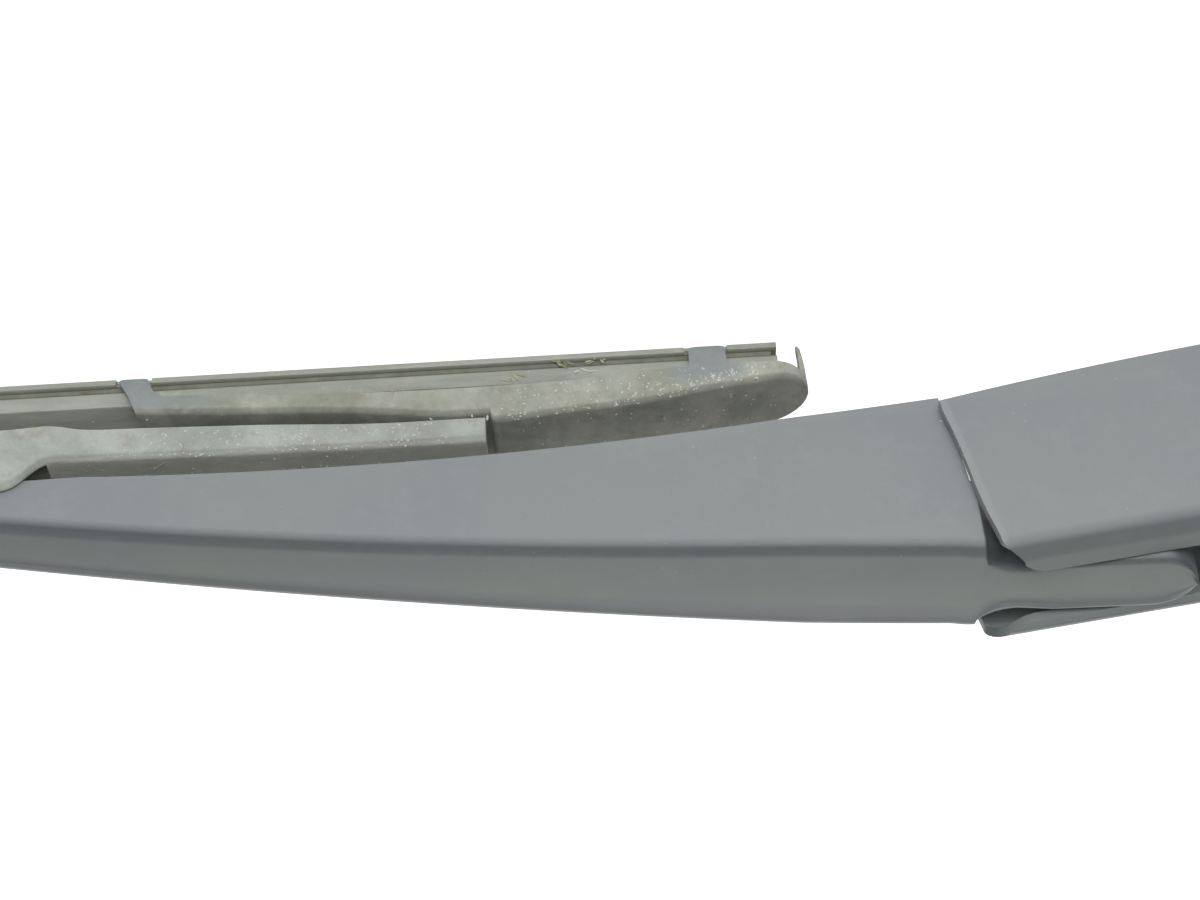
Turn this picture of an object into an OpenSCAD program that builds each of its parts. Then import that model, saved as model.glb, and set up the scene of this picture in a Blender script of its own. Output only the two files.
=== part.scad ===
// Rear window wiper arm with its blade, folded to its stop as it lies on the glass.
// Origin: centre of the spindle bore on the seat face. +Z points away from the glass,
// +X runs from the spindle to the tip, and the XZ plane is the plane of symmetry.

/* [Layout] */
// Height of the spindle seat above the glass
seat_height = 15.5; // [15:0.5:20]
// Distance from the spindle to the hinge pin along the arm
hinge_x = 60; // [60:1:66]
// Height of the hinge pin above the seat
hinge_z = 33; // [32.5:0.5:34]
// Distance from the hinge pin to the blade pivot along the arm
arm_reach = 220; // [210:5:240]
// Height of the blade pivot above the seat
pivot_z = 6; // [5.5:0.25:6.5]
// Length of the rubber blade
blade_length = 350; // [345:5:380]

/* [Head] */
// Outer width of the head
head_w = 26.6; // [26.2:0.2:30]
// Wall of the head
head_wall = 1.6; // [1.4:0.1:2]
// Radius of the head's long outer corners
head_corner_r = 3.8; // [3:0.2:4.2]
// Height of the head's back above the seat, over the hinge pin
head_back_z = 38.7; // [38.4:0.1:39.2]
// Fall of the head's back for each millimetre towards the spindle
head_back_slope = 0.13; // [0.1:0.01:0.15]
// Height of the head's lower edge above the seat, under the seam
head_edge_z = 10; // [9:0.5:11]
// Depth of the head's skirt below the seat at the spindle
skirt_drop = 3.5; // [2.5:0.5:4.5]
// Width of the slot in the head's back that the arm's tongue lies in
slot_w = 14.4; // [14.2:0.2:15]
// Radius of the rounded corners where the slot opens towards the arm
slot_mouth_r = 6; // [4:0.5:6]
// Outer diameter of the spindle bush
bush_d = 19; // [16:0.5:20]
// Length of the spindle bush
bush_l = 12; // [9:0.5:14]
// Diameter of the bore that fits over the spindle
spindle_bore_d = 9.2; // [8:0.1:11]

/* [Nut cover] */
// Length of the cover over the spindle nut
cover_l = 27; // [24:1:28]
// Width of the cover over the spindle nut
cover_w = 18; // [15:1:19]
// Wall of the cover
cover_wall = 1.6; // [1.2:0.1:2]
// Diameter of the cover's hinge pin
cover_pin_d = 1.6; // [1.2:0.1:1.8]

/* [Hinge] */
// Diameter of the hinge pin
hinge_pin_d = 5; // [4:0.25:5.5]
// Diameter of the link's pin in the head
link_pin_d = 3.6; // [3:0.2:4]
// Diameter of the spring's anchor pin in the arm
anchor_pin_d = 3.4; // [2.8:0.2:3.8]
// Running clearance of pins in their bores, on the radius
pin_gap = 0.05; // [0.03:0.01:0.08]

/* [Arm] */
// Width of the arm at the seam
arm_root_w = 22.6; // [21.6:0.2:22.8]
// Width of the arm half way to the blade pivot
arm_mid_w = 16.6; // [16.2:0.2:18]
// Width of the arm over the blade pivot
arm_tip_w = 13.2; // [12.8:0.2:13.4]
// Wall of the arm
arm_wall = 1.6; // [1.4:0.1:1.8]
// Radius of the arm's long outer corners
arm_corner_r = 2.6; // [2:0.2:3]
// Height of the arm's back above the seat, at the seam
arm_root_back_z = 37.9; // [37.6:0.1:38.2]
// Height of the arm's back above the seat, over the blade pivot
arm_tip_back_z = 15.8; // [15.6:0.2:17]
// Width of the tongue that lies in the head's slot
tongue_w = 13.6; // [13:0.1:13.8]
// Length of the tongue behind the hinge pin
tongue_tail = 17.2; // [15:0.2:18]

/* [Spring] */
// Outer diameter of the tension spring
spring_d = 8.4; // [7:0.2:9]
// Wire of the tension spring
spring_wire_d = 1.4; // [1.1:0.1:1.6]
// Number of turns
spring_turns = 15; // [12:1:17]
// Thickness of the link between the spring and the head
link_t = 2.4; // [1.8:0.2:3]

/* [Primary bow] */
// Distance from the blade pivot to each yoke pin
yoke_pitch = 119; // [116:1:122]
// Width of the bow
bow_w = 12.4; // [12:0.2:12.8]
// Wall of the bow
bow_wall = 1.4; // [1.2:0.1:1.6]
// Width of the bow's hub over the blade pivot
hub_w = 17.2; // [17:0.2:19]
// Height of the hub's ears above the blade pivot
ear_rise = 7.2; // [6:0.2:7.6]
// Diameter of the blade pin
blade_pin_d = 5; // [4:0.25:5.5]

/* [Yokes] */
// Width of the yokes
yoke_w = 13; // [12.8:0.2:13.4]
// Wall of the yokes
yoke_wall = 1.3; // [1.1:0.1:1.5]
// Reach of a yoke outward from its pin, to its rounded end
yoke_reach_out = 61; // [59:0.5:62]
// Distance from a yoke's pin to its outer claw
claw_out = 44; // [42:1:48]
// Distance from a yoke's pin to its inner claw
claw_in = 53; // [50:1:54]
// Diameter of the yoke pins
yoke_pin_d = 2.2; // [1.8:0.1:2.4]

/* [Rubber] */
// Width of the rubber's base
rubber_w = 9.2; // [8.6:0.2:9.4]
// Height of the rubber's base
rubber_base_h = 5.8; // [5.4:0.1:6]
// Height from the lip's edge to the rubber's base
lip_h = 4.3; // [4:0.1:4.6]
// Width of each steel flexor strip
flexor_w = 2.2; // [1.8:0.1:2.4]
// Thickness of each steel flexor strip
flexor_t = 0.9; // [0.7:0.1:1]

/* [Hidden] */
eps = 0.01;
corner_steps = 6;

// Places along the arm
pivot_x = hinge_x + arm_reach;
seam_reach = 21;
seam_x = hinge_x + seam_reach;
arm_root_x = seam_x + 0.2;
glass_z = -seat_height;

// Half widths
head_hw = head_w / 2;
arm_root_hw = arm_root_w / 2;
tongue_hw = tongue_w / 2;
slot_hw = slot_w / 2;
bow_hw = bow_w / 2;
hub_hw = hub_w / 2;
yoke_hw = yoke_w / 2;

// A smooth curve through three heights, by the share t of the way from the first to the last
function blend3(a, b, c, t) = a * (1 - t) * (1 - 2 * t) + b * 4 * t * (1 - t) + c * t * (2 * t - 1);

// A bar with its section in the XZ plane, extruded over the width w about the XZ plane
module across(w) {
    rotate([90, 0, 0])
        linear_extrude(height = w, center = true)
            children();
}

// A round bar along Y from y0 to y1
module pin_bar(x, z, d, y0, y1) {
    translate([x, y1, z])
        rotate([90, 0, 0])
            cylinder(d = d, h = y1 - y0, $fn = 48);
}

// Section of a channel open towards the glass: half width, back height, edge height and corner
// radius, as points in [y, z] from the near edge over the back to the far edge. Each wall has a
// point half way up, and the back is crowned a little.
function channel_side(hw, back, edge, r) = [
    [-hw, edge],
    [-hw, (edge + back - r) / 2],
    for (i = [0 : corner_steps])
        [-hw + r - r * cos(90 * i / corner_steps), back - r + r * sin(90 * i / corner_steps)]
];
function mirrored(points) = [for (i = [len(points) - 1 : -1 : 0]) [-points[i][0], points[i][1]]];
function channel(hw, back, edge, r, crown) = concat(
    channel_side(hw, back, edge, r), [[0, back + crown]],
    mirrored(channel_side(hw, back, edge, r))
);
function at_x(x, section) = [for (p = section) [x, p[0], p[1]]];

// Closed shell between a list of outer sections and a list of inner sections
module shell_loft(outer, inner) {
    rows = len(outer);
    cols = len(outer[0]);
    in0 = rows * cols;
    points = concat([for (s = outer) each s], [for (s = inner) each s]);
    skin = [
        for (i = [0 : rows - 2]) for (j = [0 : cols - 2])
            let (a = i * cols + j, b = a + 1, c = a + cols + 1, d = a + cols)
            each [[a, c, b], [a, d, c], [in0 + a, in0 + b, in0 + c], [in0 + a, in0 + c, in0 + d]]
    ];
    rims = [
        for (i = [0 : rows - 2])
            let (
                a = i * cols, b = a + cols,
                c = a + cols - 1, d = c + cols
            )
            each [
                [a, in0 + b, b], [a, in0 + a, in0 + b],
                [c, d, in0 + d], [c, in0 + d, in0 + c]
            ]
    ];
    last = (rows - 1) * cols;
    ends = [
        for (j = [0 : cols - 2])
            each [
                [j, in0 + j + 1, in0 + j], [j, j + 1, in0 + j + 1],
                [last + j, in0 + last + j + 1, last + j + 1],
                [last + j, in0 + last + j, in0 + last + j + 1]
            ]
    ];
    polyhedron(points = points, faces = concat(skin, rims, ends), convexity = 6);
}

// Head: profile of its back and of its lower edge
function head_back(x) = head_back_z + (x - hinge_x) * head_back_slope;
function head_edge(x) =
    x > 0
    ? blend3(-skirt_drop, (head_edge_z - skirt_drop) / 2 - 1.2, head_edge_z, x / seam_x)
    : -skirt_drop;
head_tail_r = 5;
function head_tail_drop(a) = head_tail_r * (1 - cos(a)) * 0.8;
head_xs = [for (k = [0 : 11]) seam_x + 3 - (seam_x + 3) * k / 11];
head_tail_as = [15, 30, 45, 58, 70, 80, 87];
function head_section(x, hw, drop, t) = channel(
    hw - t, head_back(x) - drop - t, head_edge(x), min(max(head_corner_r - t, 0.6), (hw - t) * 0.9), 0.2
);
head_outer = concat(
    [for (x = head_xs) at_x(x, head_section(x, head_hw, 0, 0))],
    [for (a = head_tail_as)
        at_x(-head_hw * sin(a), head_section(-head_hw * sin(a), head_hw * cos(a), head_tail_drop(a), 0))]
);
head_inner = concat(
    [for (x = head_xs) at_x(x, head_section(x, head_hw, 0, head_wall))],
    [for (a = head_tail_as)
        let (r = head_hw - head_wall, x = -r * sin(a), w = r * cos(a))
        at_x(x, channel(
            w, head_back(x) - head_tail_drop(a) - head_wall, head_edge(x),
            min(max(head_corner_r - head_wall, 0.6), w * 0.9), 0.2
        ))]
);

// The seam: the leading edge of the head's cheeks, seen from the side
seam_top_z = head_back(seam_x) + 3;
module seam_cut() {
    across(head_w + 4)
        polygon([
            [seam_x, head_edge_z - 8],
            [seam_x - 0.1, head_edge_z],
            [seam_x - 1.6, head_edge_z + 7],
            [seam_x - 2.5, head_edge_z + 12.1],
            [seam_x - 3.3, head_edge_z + 17],
            [seam_x - 4.6, head_edge_z + 23.8],
            [seam_x - 5.7, head_edge_z + 27],
            [seam_x - 5.7, seam_top_z],
            [seam_x + 8, seam_top_z],
            [seam_x + 8, head_edge_z - 8]
        ]);
}

// The slot in the head's back, with its flared mouth
slot_end_x = hinge_x - tongue_tail - 3.8;
slot_mouth_x = seam_x - 5.7;
module slot_cut() {
    translate([0, 0, head_back(slot_end_x) - 8])
        linear_extrude(height = 20)
            offset_slot();
    translate([0, 0, head_back(slot_mouth_x) - head_corner_r + 0.6])
        linear_extrude(height = 10)
            slot_mouth();
}
slot_corner_r = 4;
module offset_slot() {
    translate([slot_end_x + slot_corner_r, -slot_hw])
        square([seam_x - slot_end_x, slot_w]);
    translate([slot_end_x, -slot_hw + slot_corner_r])
        square([slot_corner_r + 1, slot_w - 2 * slot_corner_r]);
    for (s = [-1, 1])
        translate([slot_end_x + slot_corner_r, s * (slot_hw - slot_corner_r)])
            circle(r = slot_corner_r, $fn = 48);
}
module slot_mouth() {
    mouth_hw = slot_hw + slot_mouth_r;
    difference() {
        translate([slot_mouth_x - slot_mouth_r, -mouth_hw])
            square([slot_mouth_r + 8, 2 * mouth_hw]);
        for (s = [-1, 1])
            translate([slot_mouth_x - slot_mouth_r, s * mouth_hw])
                circle(r = slot_mouth_r, $fn = 64);
    }
}

// Nut cover and its opening in the head's back
cover_front_x = 18;
cover_rear_x = cover_front_x - cover_l;
cover_axis_x = cover_front_x - 1.2;
cover_axis_z = head_back(cover_axis_x) - cover_wall / 2 - 1.5;
cover_gap = 0.35;
lug_inner = cover_w / 2 + cover_gap;
lug_outer = head_hw - head_wall / 2;
cover_pin_reach = cover_w / 2 + 1.6;
back_tilt = -atan(head_back_slope);
module cover_outline(grow) {
    r = 4;
    hull() {
        for (s = [-1, 1]) {
            translate([cover_rear_x + r + 2, s * (cover_w / 2 - r)])
                circle(r = r + grow, $fn = 32);
            translate([cover_front_x - 1, s * (cover_w / 2 - 1)])
                circle(r = 1 + grow, $fn = 32);
        }
    }
}

// The link's pin sits behind and below the hinge pin
link_back = 16;
link_drop = 21;
link_pin_x = hinge_x - link_back;
link_pin_z = hinge_z - link_drop;
module head_bosses() {
    for (s = [-1, 1]) {
        y0 = s > 0 ? slot_hw : -head_hw + head_wall / 2;
        y1 = s > 0 ? head_hw - head_wall / 2 : -slot_hw;
        pin_bar(hinge_x, hinge_z, hinge_pin_d + 4.6, y0, y1);
        pin_bar(link_pin_x, link_pin_z, link_pin_d + 4, s > 0 ? 3 : y0, s > 0 ? y1 : -3);
    }
}

module head_shell() {
    color("#4c5256")
        difference() {
            union() {
                difference() {
                    shell_loft(head_outer, head_inner);
                    seam_cut();
                    slot_cut();
                    translate([0, 0, head_back(cover_rear_x) - 9])
                        linear_extrude(height = 20)
                            cover_outline(cover_gap);
                    translate([cover_front_x - 1, -cover_w / 2 - cover_gap, head_back(0) - 8])
                        cube([2.4, cover_w + 2 * cover_gap, 20]);
                }
                head_bosses();
                // Web round the spindle bush
                translate([0, 0, 1])
                    cylinder(r = head_hw - head_wall / 2, h = bush_l - 2, $fn = 96);
                // Lugs for the cover's pin, beside its opening
                pin_bar(cover_axis_x, cover_axis_z, cover_pin_d + 2.2, -lug_outer, -lug_inner);
                pin_bar(cover_axis_x, cover_axis_z, cover_pin_d + 2.2, lug_inner, lug_outer);
            }
            translate([0, 0, -1])
                cylinder(d = bush_d + 2 * pin_gap, h = bush_l + 2, $fn = 96);
            pin_bar(hinge_x, hinge_z, hinge_pin_d, -head_hw + 0.7, head_hw + 1);
            pin_bar(link_pin_x, link_pin_z, link_pin_d, -head_hw + 0.7, head_hw + 1);
            pin_bar(cover_axis_x, cover_axis_z, cover_pin_d, -cover_pin_reach - 0.1, cover_pin_reach + 0.1);
        }
}

module spindle_bush() {
    color("#8d8f90")
        difference() {
            union() {
                cylinder(d = bush_d, h = bush_l, $fn = 96);
                translate([0, 0, bush_l - 1])
                    cylinder(d = bush_d + 2.4, h = 1, $fn = 96);
            }
            translate([0, 0, -1])
                cylinder(d = spindle_bore_d, h = bush_l + 2, $fn = 96);
        }
}

module nut_cover() {
    color("#454b4f") {
        difference() {
            union() {
                intersection() {
                    translate([0, 0, head_back(cover_rear_x) - 12])
                        linear_extrude(height = 30)
                            cover_outline(0);
                    translate([0, 0, head_back(0)])
                        rotate([0, back_tilt, 0])
                            translate([-40, -20, -cover_wall])
                                cube([80, 40, cover_wall]);
                }
                pin_bar(cover_axis_x, cover_axis_z, cover_pin_d + 1.8, -cover_w / 2 + 3, cover_w / 2 - 3);
            }
            pin_bar(cover_axis_x, cover_axis_z, cover_pin_d + 2 * pin_gap, -cover_w, cover_w);
        }
    }
}

module nut_cover_pin() {
    color("#9a9c9e")
        pin_bar(cover_axis_x, cover_axis_z, cover_pin_d, -cover_pin_reach, cover_pin_reach);
}

module hinge_pin() {
    color("#9a9c9e")
        pin_bar(hinge_x, hinge_z, hinge_pin_d, -head_hw + 0.7, head_hw - 0.2);
}

// A thin flanged bush between the tongue and each of the head's bosses
module hinge_bush(side) {
    color("#c9c4b4")
        mirror([0, side < 0 ? 1 : 0, 0])
            difference() {
                union() {
                    pin_bar(hinge_x, hinge_z, hinge_pin_d + 1.6, tongue_hw - arm_wall - 0.2, tongue_hw + eps);
                    pin_bar(hinge_x, hinge_z, hinge_pin_d + 3.6, tongue_hw + eps, slot_hw - 0.05);
                }
                pin_bar(hinge_x, hinge_z, hinge_pin_d + 2 * pin_gap, 0, head_hw);
            }
}
module hinge_bush_near() { hinge_bush(-1); }
module hinge_bush_far() { hinge_bush(1); }

module link_pin() {
    color("#9a9c9e")
        pin_bar(link_pin_x, link_pin_z, link_pin_d, -head_hw + 0.7, head_hw - 0.2);
}

// Spring line: from the link's pin in the head to the anchor pin in the arm
anchor_reach = 90;
anchor_drop = 13;
anchor_x = hinge_x + anchor_reach;
anchor_z = hinge_z - anchor_drop;
line_dx = anchor_x - link_pin_x;
line_dz = anchor_z - link_pin_z;
line_l = sqrt(line_dx * line_dx + line_dz * line_dz);
line_a = atan2(line_dz, line_dx);
link_l = 52;
link_hw = 1.8;
link_bulge = 5;

// The link is a flat strip that bows away from the hinge pin, with a round eye at each end
module spring_link() {
    color("#8a8c8c")
        translate([link_pin_x, 0, link_pin_z])
            rotate([0, -line_a, 0])
                difference() {
                    across(link_t) {
                        link_arc();
                        circle(r = link_pin_d / 2 + 1.8, $fn = 48);
                        translate([link_l, 0])
                            circle(r = 3, $fn = 48);
                    }
                    pin_bar(0, 0, link_pin_d + 2 * pin_gap, -link_t, link_t);
                    pin_bar(link_l, 0, 3, -link_t, link_t);
                }
}
module link_arc() {
    arc_x = (link_l * link_l / 4 - link_bulge * link_bulge) / (2 * link_bulge);
    arc_r = arc_x + link_bulge;
    intersection() {
        translate([link_l / 2, arc_x])
            difference() {
                circle(r = arc_r + link_hw, $fn = 180);
                circle(r = arc_r - link_hw, $fn = 180);
            }
        translate([link_pin_d / 2 + 0.8, -link_bulge - link_hw - 1])
            square([link_l - link_pin_d / 2 - 0.8 - 2, link_bulge + 2 * link_hw + 1]);
    }
}

// Tension spring: one wire swept along a hook, the turns and a second hook
spring_r = (spring_d - spring_wire_d) / 2;
spring_span = line_l - link_l;
hook_l = 6.5;
coil_l = spring_span - 2 * hook_l;
wire_sides = 6;
turn_steps = 10;
// The hook through the link's eye lies across the link; the one round the anchor pin lies along it
eye_ring_mid = 2.25;
eye_hook_r = 2.2;
pin_hook_r = anchor_pin_d / 2 + spring_wire_d / 2 + 0.15;
coil_turns = spring_turns - 0.25;
function coil_point(t) = [
    hook_l + coil_l * t,
    -spring_r * cos(360 * coil_turns * t),
    spring_r * sin(360 * coil_turns * t)
];
wire_path = concat(
    [for (a = [60 : 30 : 300]) [eye_ring_mid + eye_hook_r * cos(a), eye_hook_r * sin(a), 0]],
    [[hook_l - 1.4, -spring_r + 0.5, 0]],
    [for (i = [0 : spring_turns * turn_steps]) coil_point(i / (spring_turns * turn_steps))],
    [[hook_l + coil_l + 1.6, 0, -spring_r + 0.3]],
    [for (a = [-110 : 30 : 160]) [spring_span + pin_hook_r * cos(a), 0, pin_hook_r * sin(a)]]
);
function unit(v) = v / norm(v);
function sweep_ring(path, i, r, sides) =
    let (
        before = path[max(i - 1, 0)], after = path[min(i + 1, len(path) - 1)],
        t = unit(after - before),
        side = unit(cross(t, abs(t[1]) < 0.9 ? [0, 1, 0] : [1, 0, 0])),
        up = cross(side, t)
    )
    [for (k = [0 : sides - 1])
        path[i] + r * cos(360 * k / sides) * side + r * sin(360 * k / sides) * up];
module swept_wire(path, r, sides) {
    n = len(path);
    points = [for (i = [0 : n - 1]) each sweep_ring(path, i, r, sides)];
    faces = concat(
        [[for (k = [sides - 1 : -1 : 0]) k]],
        [for (i = [0 : n - 2]) for (k = [0 : sides - 1])
            let (a = i * sides + k, b = i * sides + (k + 1) % sides)
            each [[a, b, b + sides], [a, b + sides, a + sides]]],
        [[for (k = [0 : sides - 1]) (n - 1) * sides + k]]
    );
    polyhedron(points = points, faces = faces, convexity = 10);
}
module tension_spring() {
    color("#6f7272")
        translate([link_pin_x, 0, link_pin_z])
            rotate([0, -line_a, 0])
                translate([link_l, 0, 0])
                    swept_wire(wire_path, spring_wire_d / 2, wire_sides);
}

// Arm: widths and heights along its length
arm_mid_hw = arm_mid_w / 2;
arm_tip_hw = arm_tip_w / 2;
arm_taper_margin = 45;
arm_full_x = hinge_x + arm_taper_margin;
arm_slim_x = pivot_x - arm_taper_margin;
function ease(t) = t < 0 ? 0 : t > 1 ? 1 : t * t * (3 - 2 * t);
function arm_hw(x) =
    x < arm_full_x
    ? arm_root_hw
    : x < arm_slim_x
    ? blend3(arm_root_hw, arm_mid_hw + 0.35, arm_tip_hw + 0.3, (x - arm_full_x) / (arm_slim_x - arm_full_x))
    : arm_tip_hw + 0.3 * (1 - ease((x - arm_slim_x) / 12));
arm_mid_back_z = 29.9;
knee_l = 30;
arm_knee_x = pivot_x - knee_l;
arm_knee_z = arm_tip_back_z + 1.0;
function arm_back(x) =
    x < arm_knee_x
    ? blend3(arm_root_back_z, arm_mid_back_z, arm_knee_z, (x - arm_root_x) / (arm_knee_x - arm_root_x))
    : arm_knee_z + (arm_tip_back_z - arm_knee_z) * ease((x - arm_knee_x) / knee_l);
arm_level_x = pivot_x - 59;
arm_root_edge_z = 7.9;
arm_tip_edge_z = 10.8;
function arm_edge(x) =
    x < arm_level_x
    ? blend3(arm_root_edge_z, 12.5, arm_tip_edge_z, (x - arm_root_x) / (arm_level_x - arm_root_x))
    : arm_tip_edge_z;

anchor_hw = arm_hw(anchor_x);
module anchor_pin() {
    color("#9a9c9e")
        pin_bar(anchor_x, anchor_z, anchor_pin_d, -anchor_hw + 0.7, anchor_hw - 0.2);
}

// Rings of the arm's shell from the nose to the tongue's tail; t is taken off for the inner skin
arm_nose_x = pivot_x + 9;
nose_r = arm_tip_hw;
nose_as = [85, 75, 62, 48, 32, 16];
arm_xs = [for (k = [0 : 20]) arm_nose_x - (arm_nose_x - arm_root_x) * k / 20];
shoulder_r = slot_mouth_r + 1.2;
shoulder_x = slot_mouth_x + 1.5 - slot_mouth_r;
function shoulder_hw(x) =
    min(arm_root_hw, tongue_hw + shoulder_r - sqrt(max(shoulder_r * shoulder_r - pow(x - shoulder_x, 2), 0)));
shoulder_xs = [6.9, 6.2, 5.2, 4, 2.4, 0];
shoulder_edge = hinge_z - 2.5;
neck_edge = hinge_z - 6.2;
tail_edge = hinge_z + 2.4;
tongue_corner_r = 1.4;
neck_xs = [hinge_x + 5, hinge_x - 4];
tail_as = [0, 25, 45, 62, 76, 86];
function tongue_back(x) = arm_root_back_z + 0.4 + (arm_root_x - x) * 0.018;
function arm_ring(x, hw, back, edge, r) = at_x(x, channel(hw, back, edge, r, 0.3));
function arm_rings(t) = concat(
    [for (a = nose_as)
        let (w = (nose_r - t) * cos(a), x = arm_nose_x + (nose_r - t) * sin(a))
        arm_ring(x, w, arm_back(x) - t - 1.6 * (1 - cos(a)), arm_tip_edge_z, min(max(arm_corner_r - t, 0.6), w * 0.9))],
    [for (x = arm_xs)
        arm_ring(x, arm_hw(x) - t, arm_back(x) - t, arm_edge(x), max(arm_corner_r - t, 0.6))],
    [for (dx = shoulder_xs)
        let (x = shoulder_x + dx)
        arm_ring(x, shoulder_hw(x) - t, tongue_back(x) - t, shoulder_edge, max(arm_corner_r - t, 0.6))],
    [for (x = neck_xs)
        arm_ring(x, tongue_hw - t, tongue_back(x) - t, neck_edge, max(tongue_corner_r - t, 0.4))],
    [for (a = tail_as)
        let (r = tongue_hw - t, x = hinge_x - tongue_tail + tongue_hw - r * sin(a))
        arm_ring(x, r * cos(a), tongue_back(x) - t, tail_edge - (a == 0 ? 1 : 0),
            min(max(tongue_corner_r - t, 0.4), r * cos(a) * 0.9))]
);

module arm_shell() {
    color("#4c5256")
        difference() {
            union() {
                shell_loft(arm_rings(0), arm_rings(arm_wall));
                for (s = [-1, 1])
                    pin_bar(anchor_x, anchor_z, anchor_pin_d + 3,
                        s > 0 ? 3.4 : -anchor_hw + arm_wall / 2, s > 0 ? anchor_hw - arm_wall / 2 : -3.4);
            }
            pin_bar(hinge_x, hinge_z, hinge_pin_d + 1.6 + 2 * pin_gap, -head_w, head_w);
            pin_bar(anchor_x, anchor_z, anchor_pin_d, -anchor_hw + 0.7, head_w);
        }
}

// Blade clip: moulded block in the arm's nose that snaps over the blade pin
clip_l = 19;
clip_top_gap = 1;
clip_hw = arm_tip_hw - arm_wall - 0.1;
module blade_clip() {
    color("#2f3234")
        difference() {
            union() {
                translate([pivot_x - clip_l / 2, -clip_hw, pivot_z])
                    cube([clip_l, 2 * clip_hw, arm_tip_back_z - arm_wall - clip_top_gap - pivot_z]);
                pin_bar(pivot_x, pivot_z, blade_pin_d + 5, -clip_hw, clip_hw);
            }
            pin_bar(pivot_x, pivot_z, blade_pin_d + 2 * pin_gap, -hub_w, hub_w);
            translate([pivot_x - clip_l, -1.2, pivot_z + blade_pin_d / 2 + 3])
                cube([2 * clip_l, 2.4, 1.4]);
        }
}

module blade_pin() {
    color("#9a9c9e")
        pin_bar(pivot_x, pivot_z, blade_pin_d, -hub_hw + 0.1, hub_hw - 0.1);
}

// Primary bow: a channel open towards the glass, with ears at its hub. Lengths are counted from
// the blade pivot, and the ears flare outward before they rise, so the arm's walls lie between them.
bow_end = yoke_pitch + 6.6;
yoke_pin_z = 3.4;
ear_top_z = pivot_z + ear_rise;
ear_l = 45;
flare_l = 50;
ramp_l = 48;
rise_l = ramp_l + 9;
bow_waist_l = rise_l + 5;
bow_mid_l = bow_end * 0.68;
bow_thin_l = bow_end * 0.89;
bow_back_z = 7;
waist_back_z = bow_back_z - 0.6;
bow_edge_z = 2.5;
waist_edge_z = 0.4;
ear_edge_z = 1.3;
function bow_mirrored(half) = concat(
    [for (p = half) [pivot_x - p[0], p[1]]],
    [for (i = [len(half) - 1 : -1 : 0]) [pivot_x + half[i][0], half[i][1]]]
);
module bow_side() {
    back = [
        [bow_end, bow_back_z], [bow_mid_l, bow_back_z - 0.2], [bow_waist_l, waist_back_z],
        [rise_l, waist_back_z + 0.4], [ramp_l + 5.6, waist_back_z + 1.5], [ramp_l + 3.6, waist_back_z + 3.1],
        [ramp_l + 1.6, waist_back_z + 5.2], [ramp_l, ear_top_z - 0.5], [ear_l, ear_top_z]
    ];
    edge = [
        [0, waist_edge_z - 0.5], [ear_l, ear_edge_z], [flare_l, ear_edge_z - 0.2],
        [rise_l, waist_edge_z], [bow_mid_l, 1.2], [bow_thin_l, bow_edge_z]
    ];
    polygon(concat(
        bow_mirrored(back),
        [[pivot_x + bow_end, bow_edge_z]],
        [for (i = [len(edge) - 1 : -1 : 0]) [pivot_x + edge[i][0], edge[i][1]]],
        [for (i = [1 : len(edge) - 1]) [pivot_x - edge[i][0], edge[i][1]]],
        [[pivot_x - bow_end, bow_edge_z]]
    ));
}
module bow_plan(inset) {
    hw = bow_hw - inset;
    hub = hub_hw - inset;
    half = [
        [bow_end + inset, hw], [bow_waist_l, hw], [bow_waist_l - 4, hw + 0.4], [flare_l + 5, hub - 0.8],
        [flare_l + 2.5, hub - 0.1], [flare_l, hub]
    ];
    side = bow_mirrored(half);
    polygon(concat(side, [for (i = [len(side) - 1 : -1 : 0]) [side[i][0], -side[i][1]]]));
}
window_hl = ear_l - 1;
trough_hl = ramp_l + 5.5;
module bow_inner_plan() {
    translate([0, 0, -ear_top_z])
        linear_extrude(height = 3 * ear_top_z)
            bow_plan(bow_wall);
}
module primary_bow() {
    color("#3f4443")
        difference() {
            intersection() {
                across(hub_w + 2)
                    bow_side();
                translate([0, 0, -ear_top_z])
                    linear_extrude(height = 3 * ear_top_z)
                        bow_plan(0);
            }
            // Hollow of the channel, under its back
            intersection() {
                across(hub_w + 2)
                    polygon(concat(
                        bow_mirrored([
                            [bow_end + 1, bow_back_z - bow_wall], [bow_mid_l, bow_back_z - 0.2 - bow_wall],
                            [rise_l, waist_back_z - bow_wall]
                        ]),
                        [[pivot_x + bow_end + 1, -ear_top_z / 2], [pivot_x - bow_end - 1, -ear_top_z / 2]]
                    ));
                bow_inner_plan();
            }
            // Window between the ears, and the troughs over the bow's back that lead into it
            intersection() {
                union() {
                    translate([pivot_x - window_hl, -hub_hw, -ear_top_z / 2])
                        cube([2 * window_hl, hub_w, 2 * ear_top_z]);
                    translate([pivot_x - trough_hl, -hub_hw, waist_back_z])
                        cube([2 * trough_hl, hub_w, ear_top_z]);
                }
                bow_inner_plan();
            }
            pin_bar(pivot_x, pivot_z, blade_pin_d, -hub_w, hub_w);
            for (s = [-1, 1])
                pin_bar(pivot_x + s * yoke_pitch, yoke_pin_z, yoke_pin_d, -bow_hw + 0.5, bow_w);
        }
}

// Rubber: heights of its base, which has a rail below the flexors and a taller rail above them
base_z = glass_z + lip_h;
base_top_z = base_z + rubber_base_h;
low_rail_h = 1.1;
groove_mouth_h = 1.4;
rail_hw = rubber_w / 2 + 0.3;
notch_hw = rail_hw - 0.6;
notch_h = 0.7;

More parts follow.
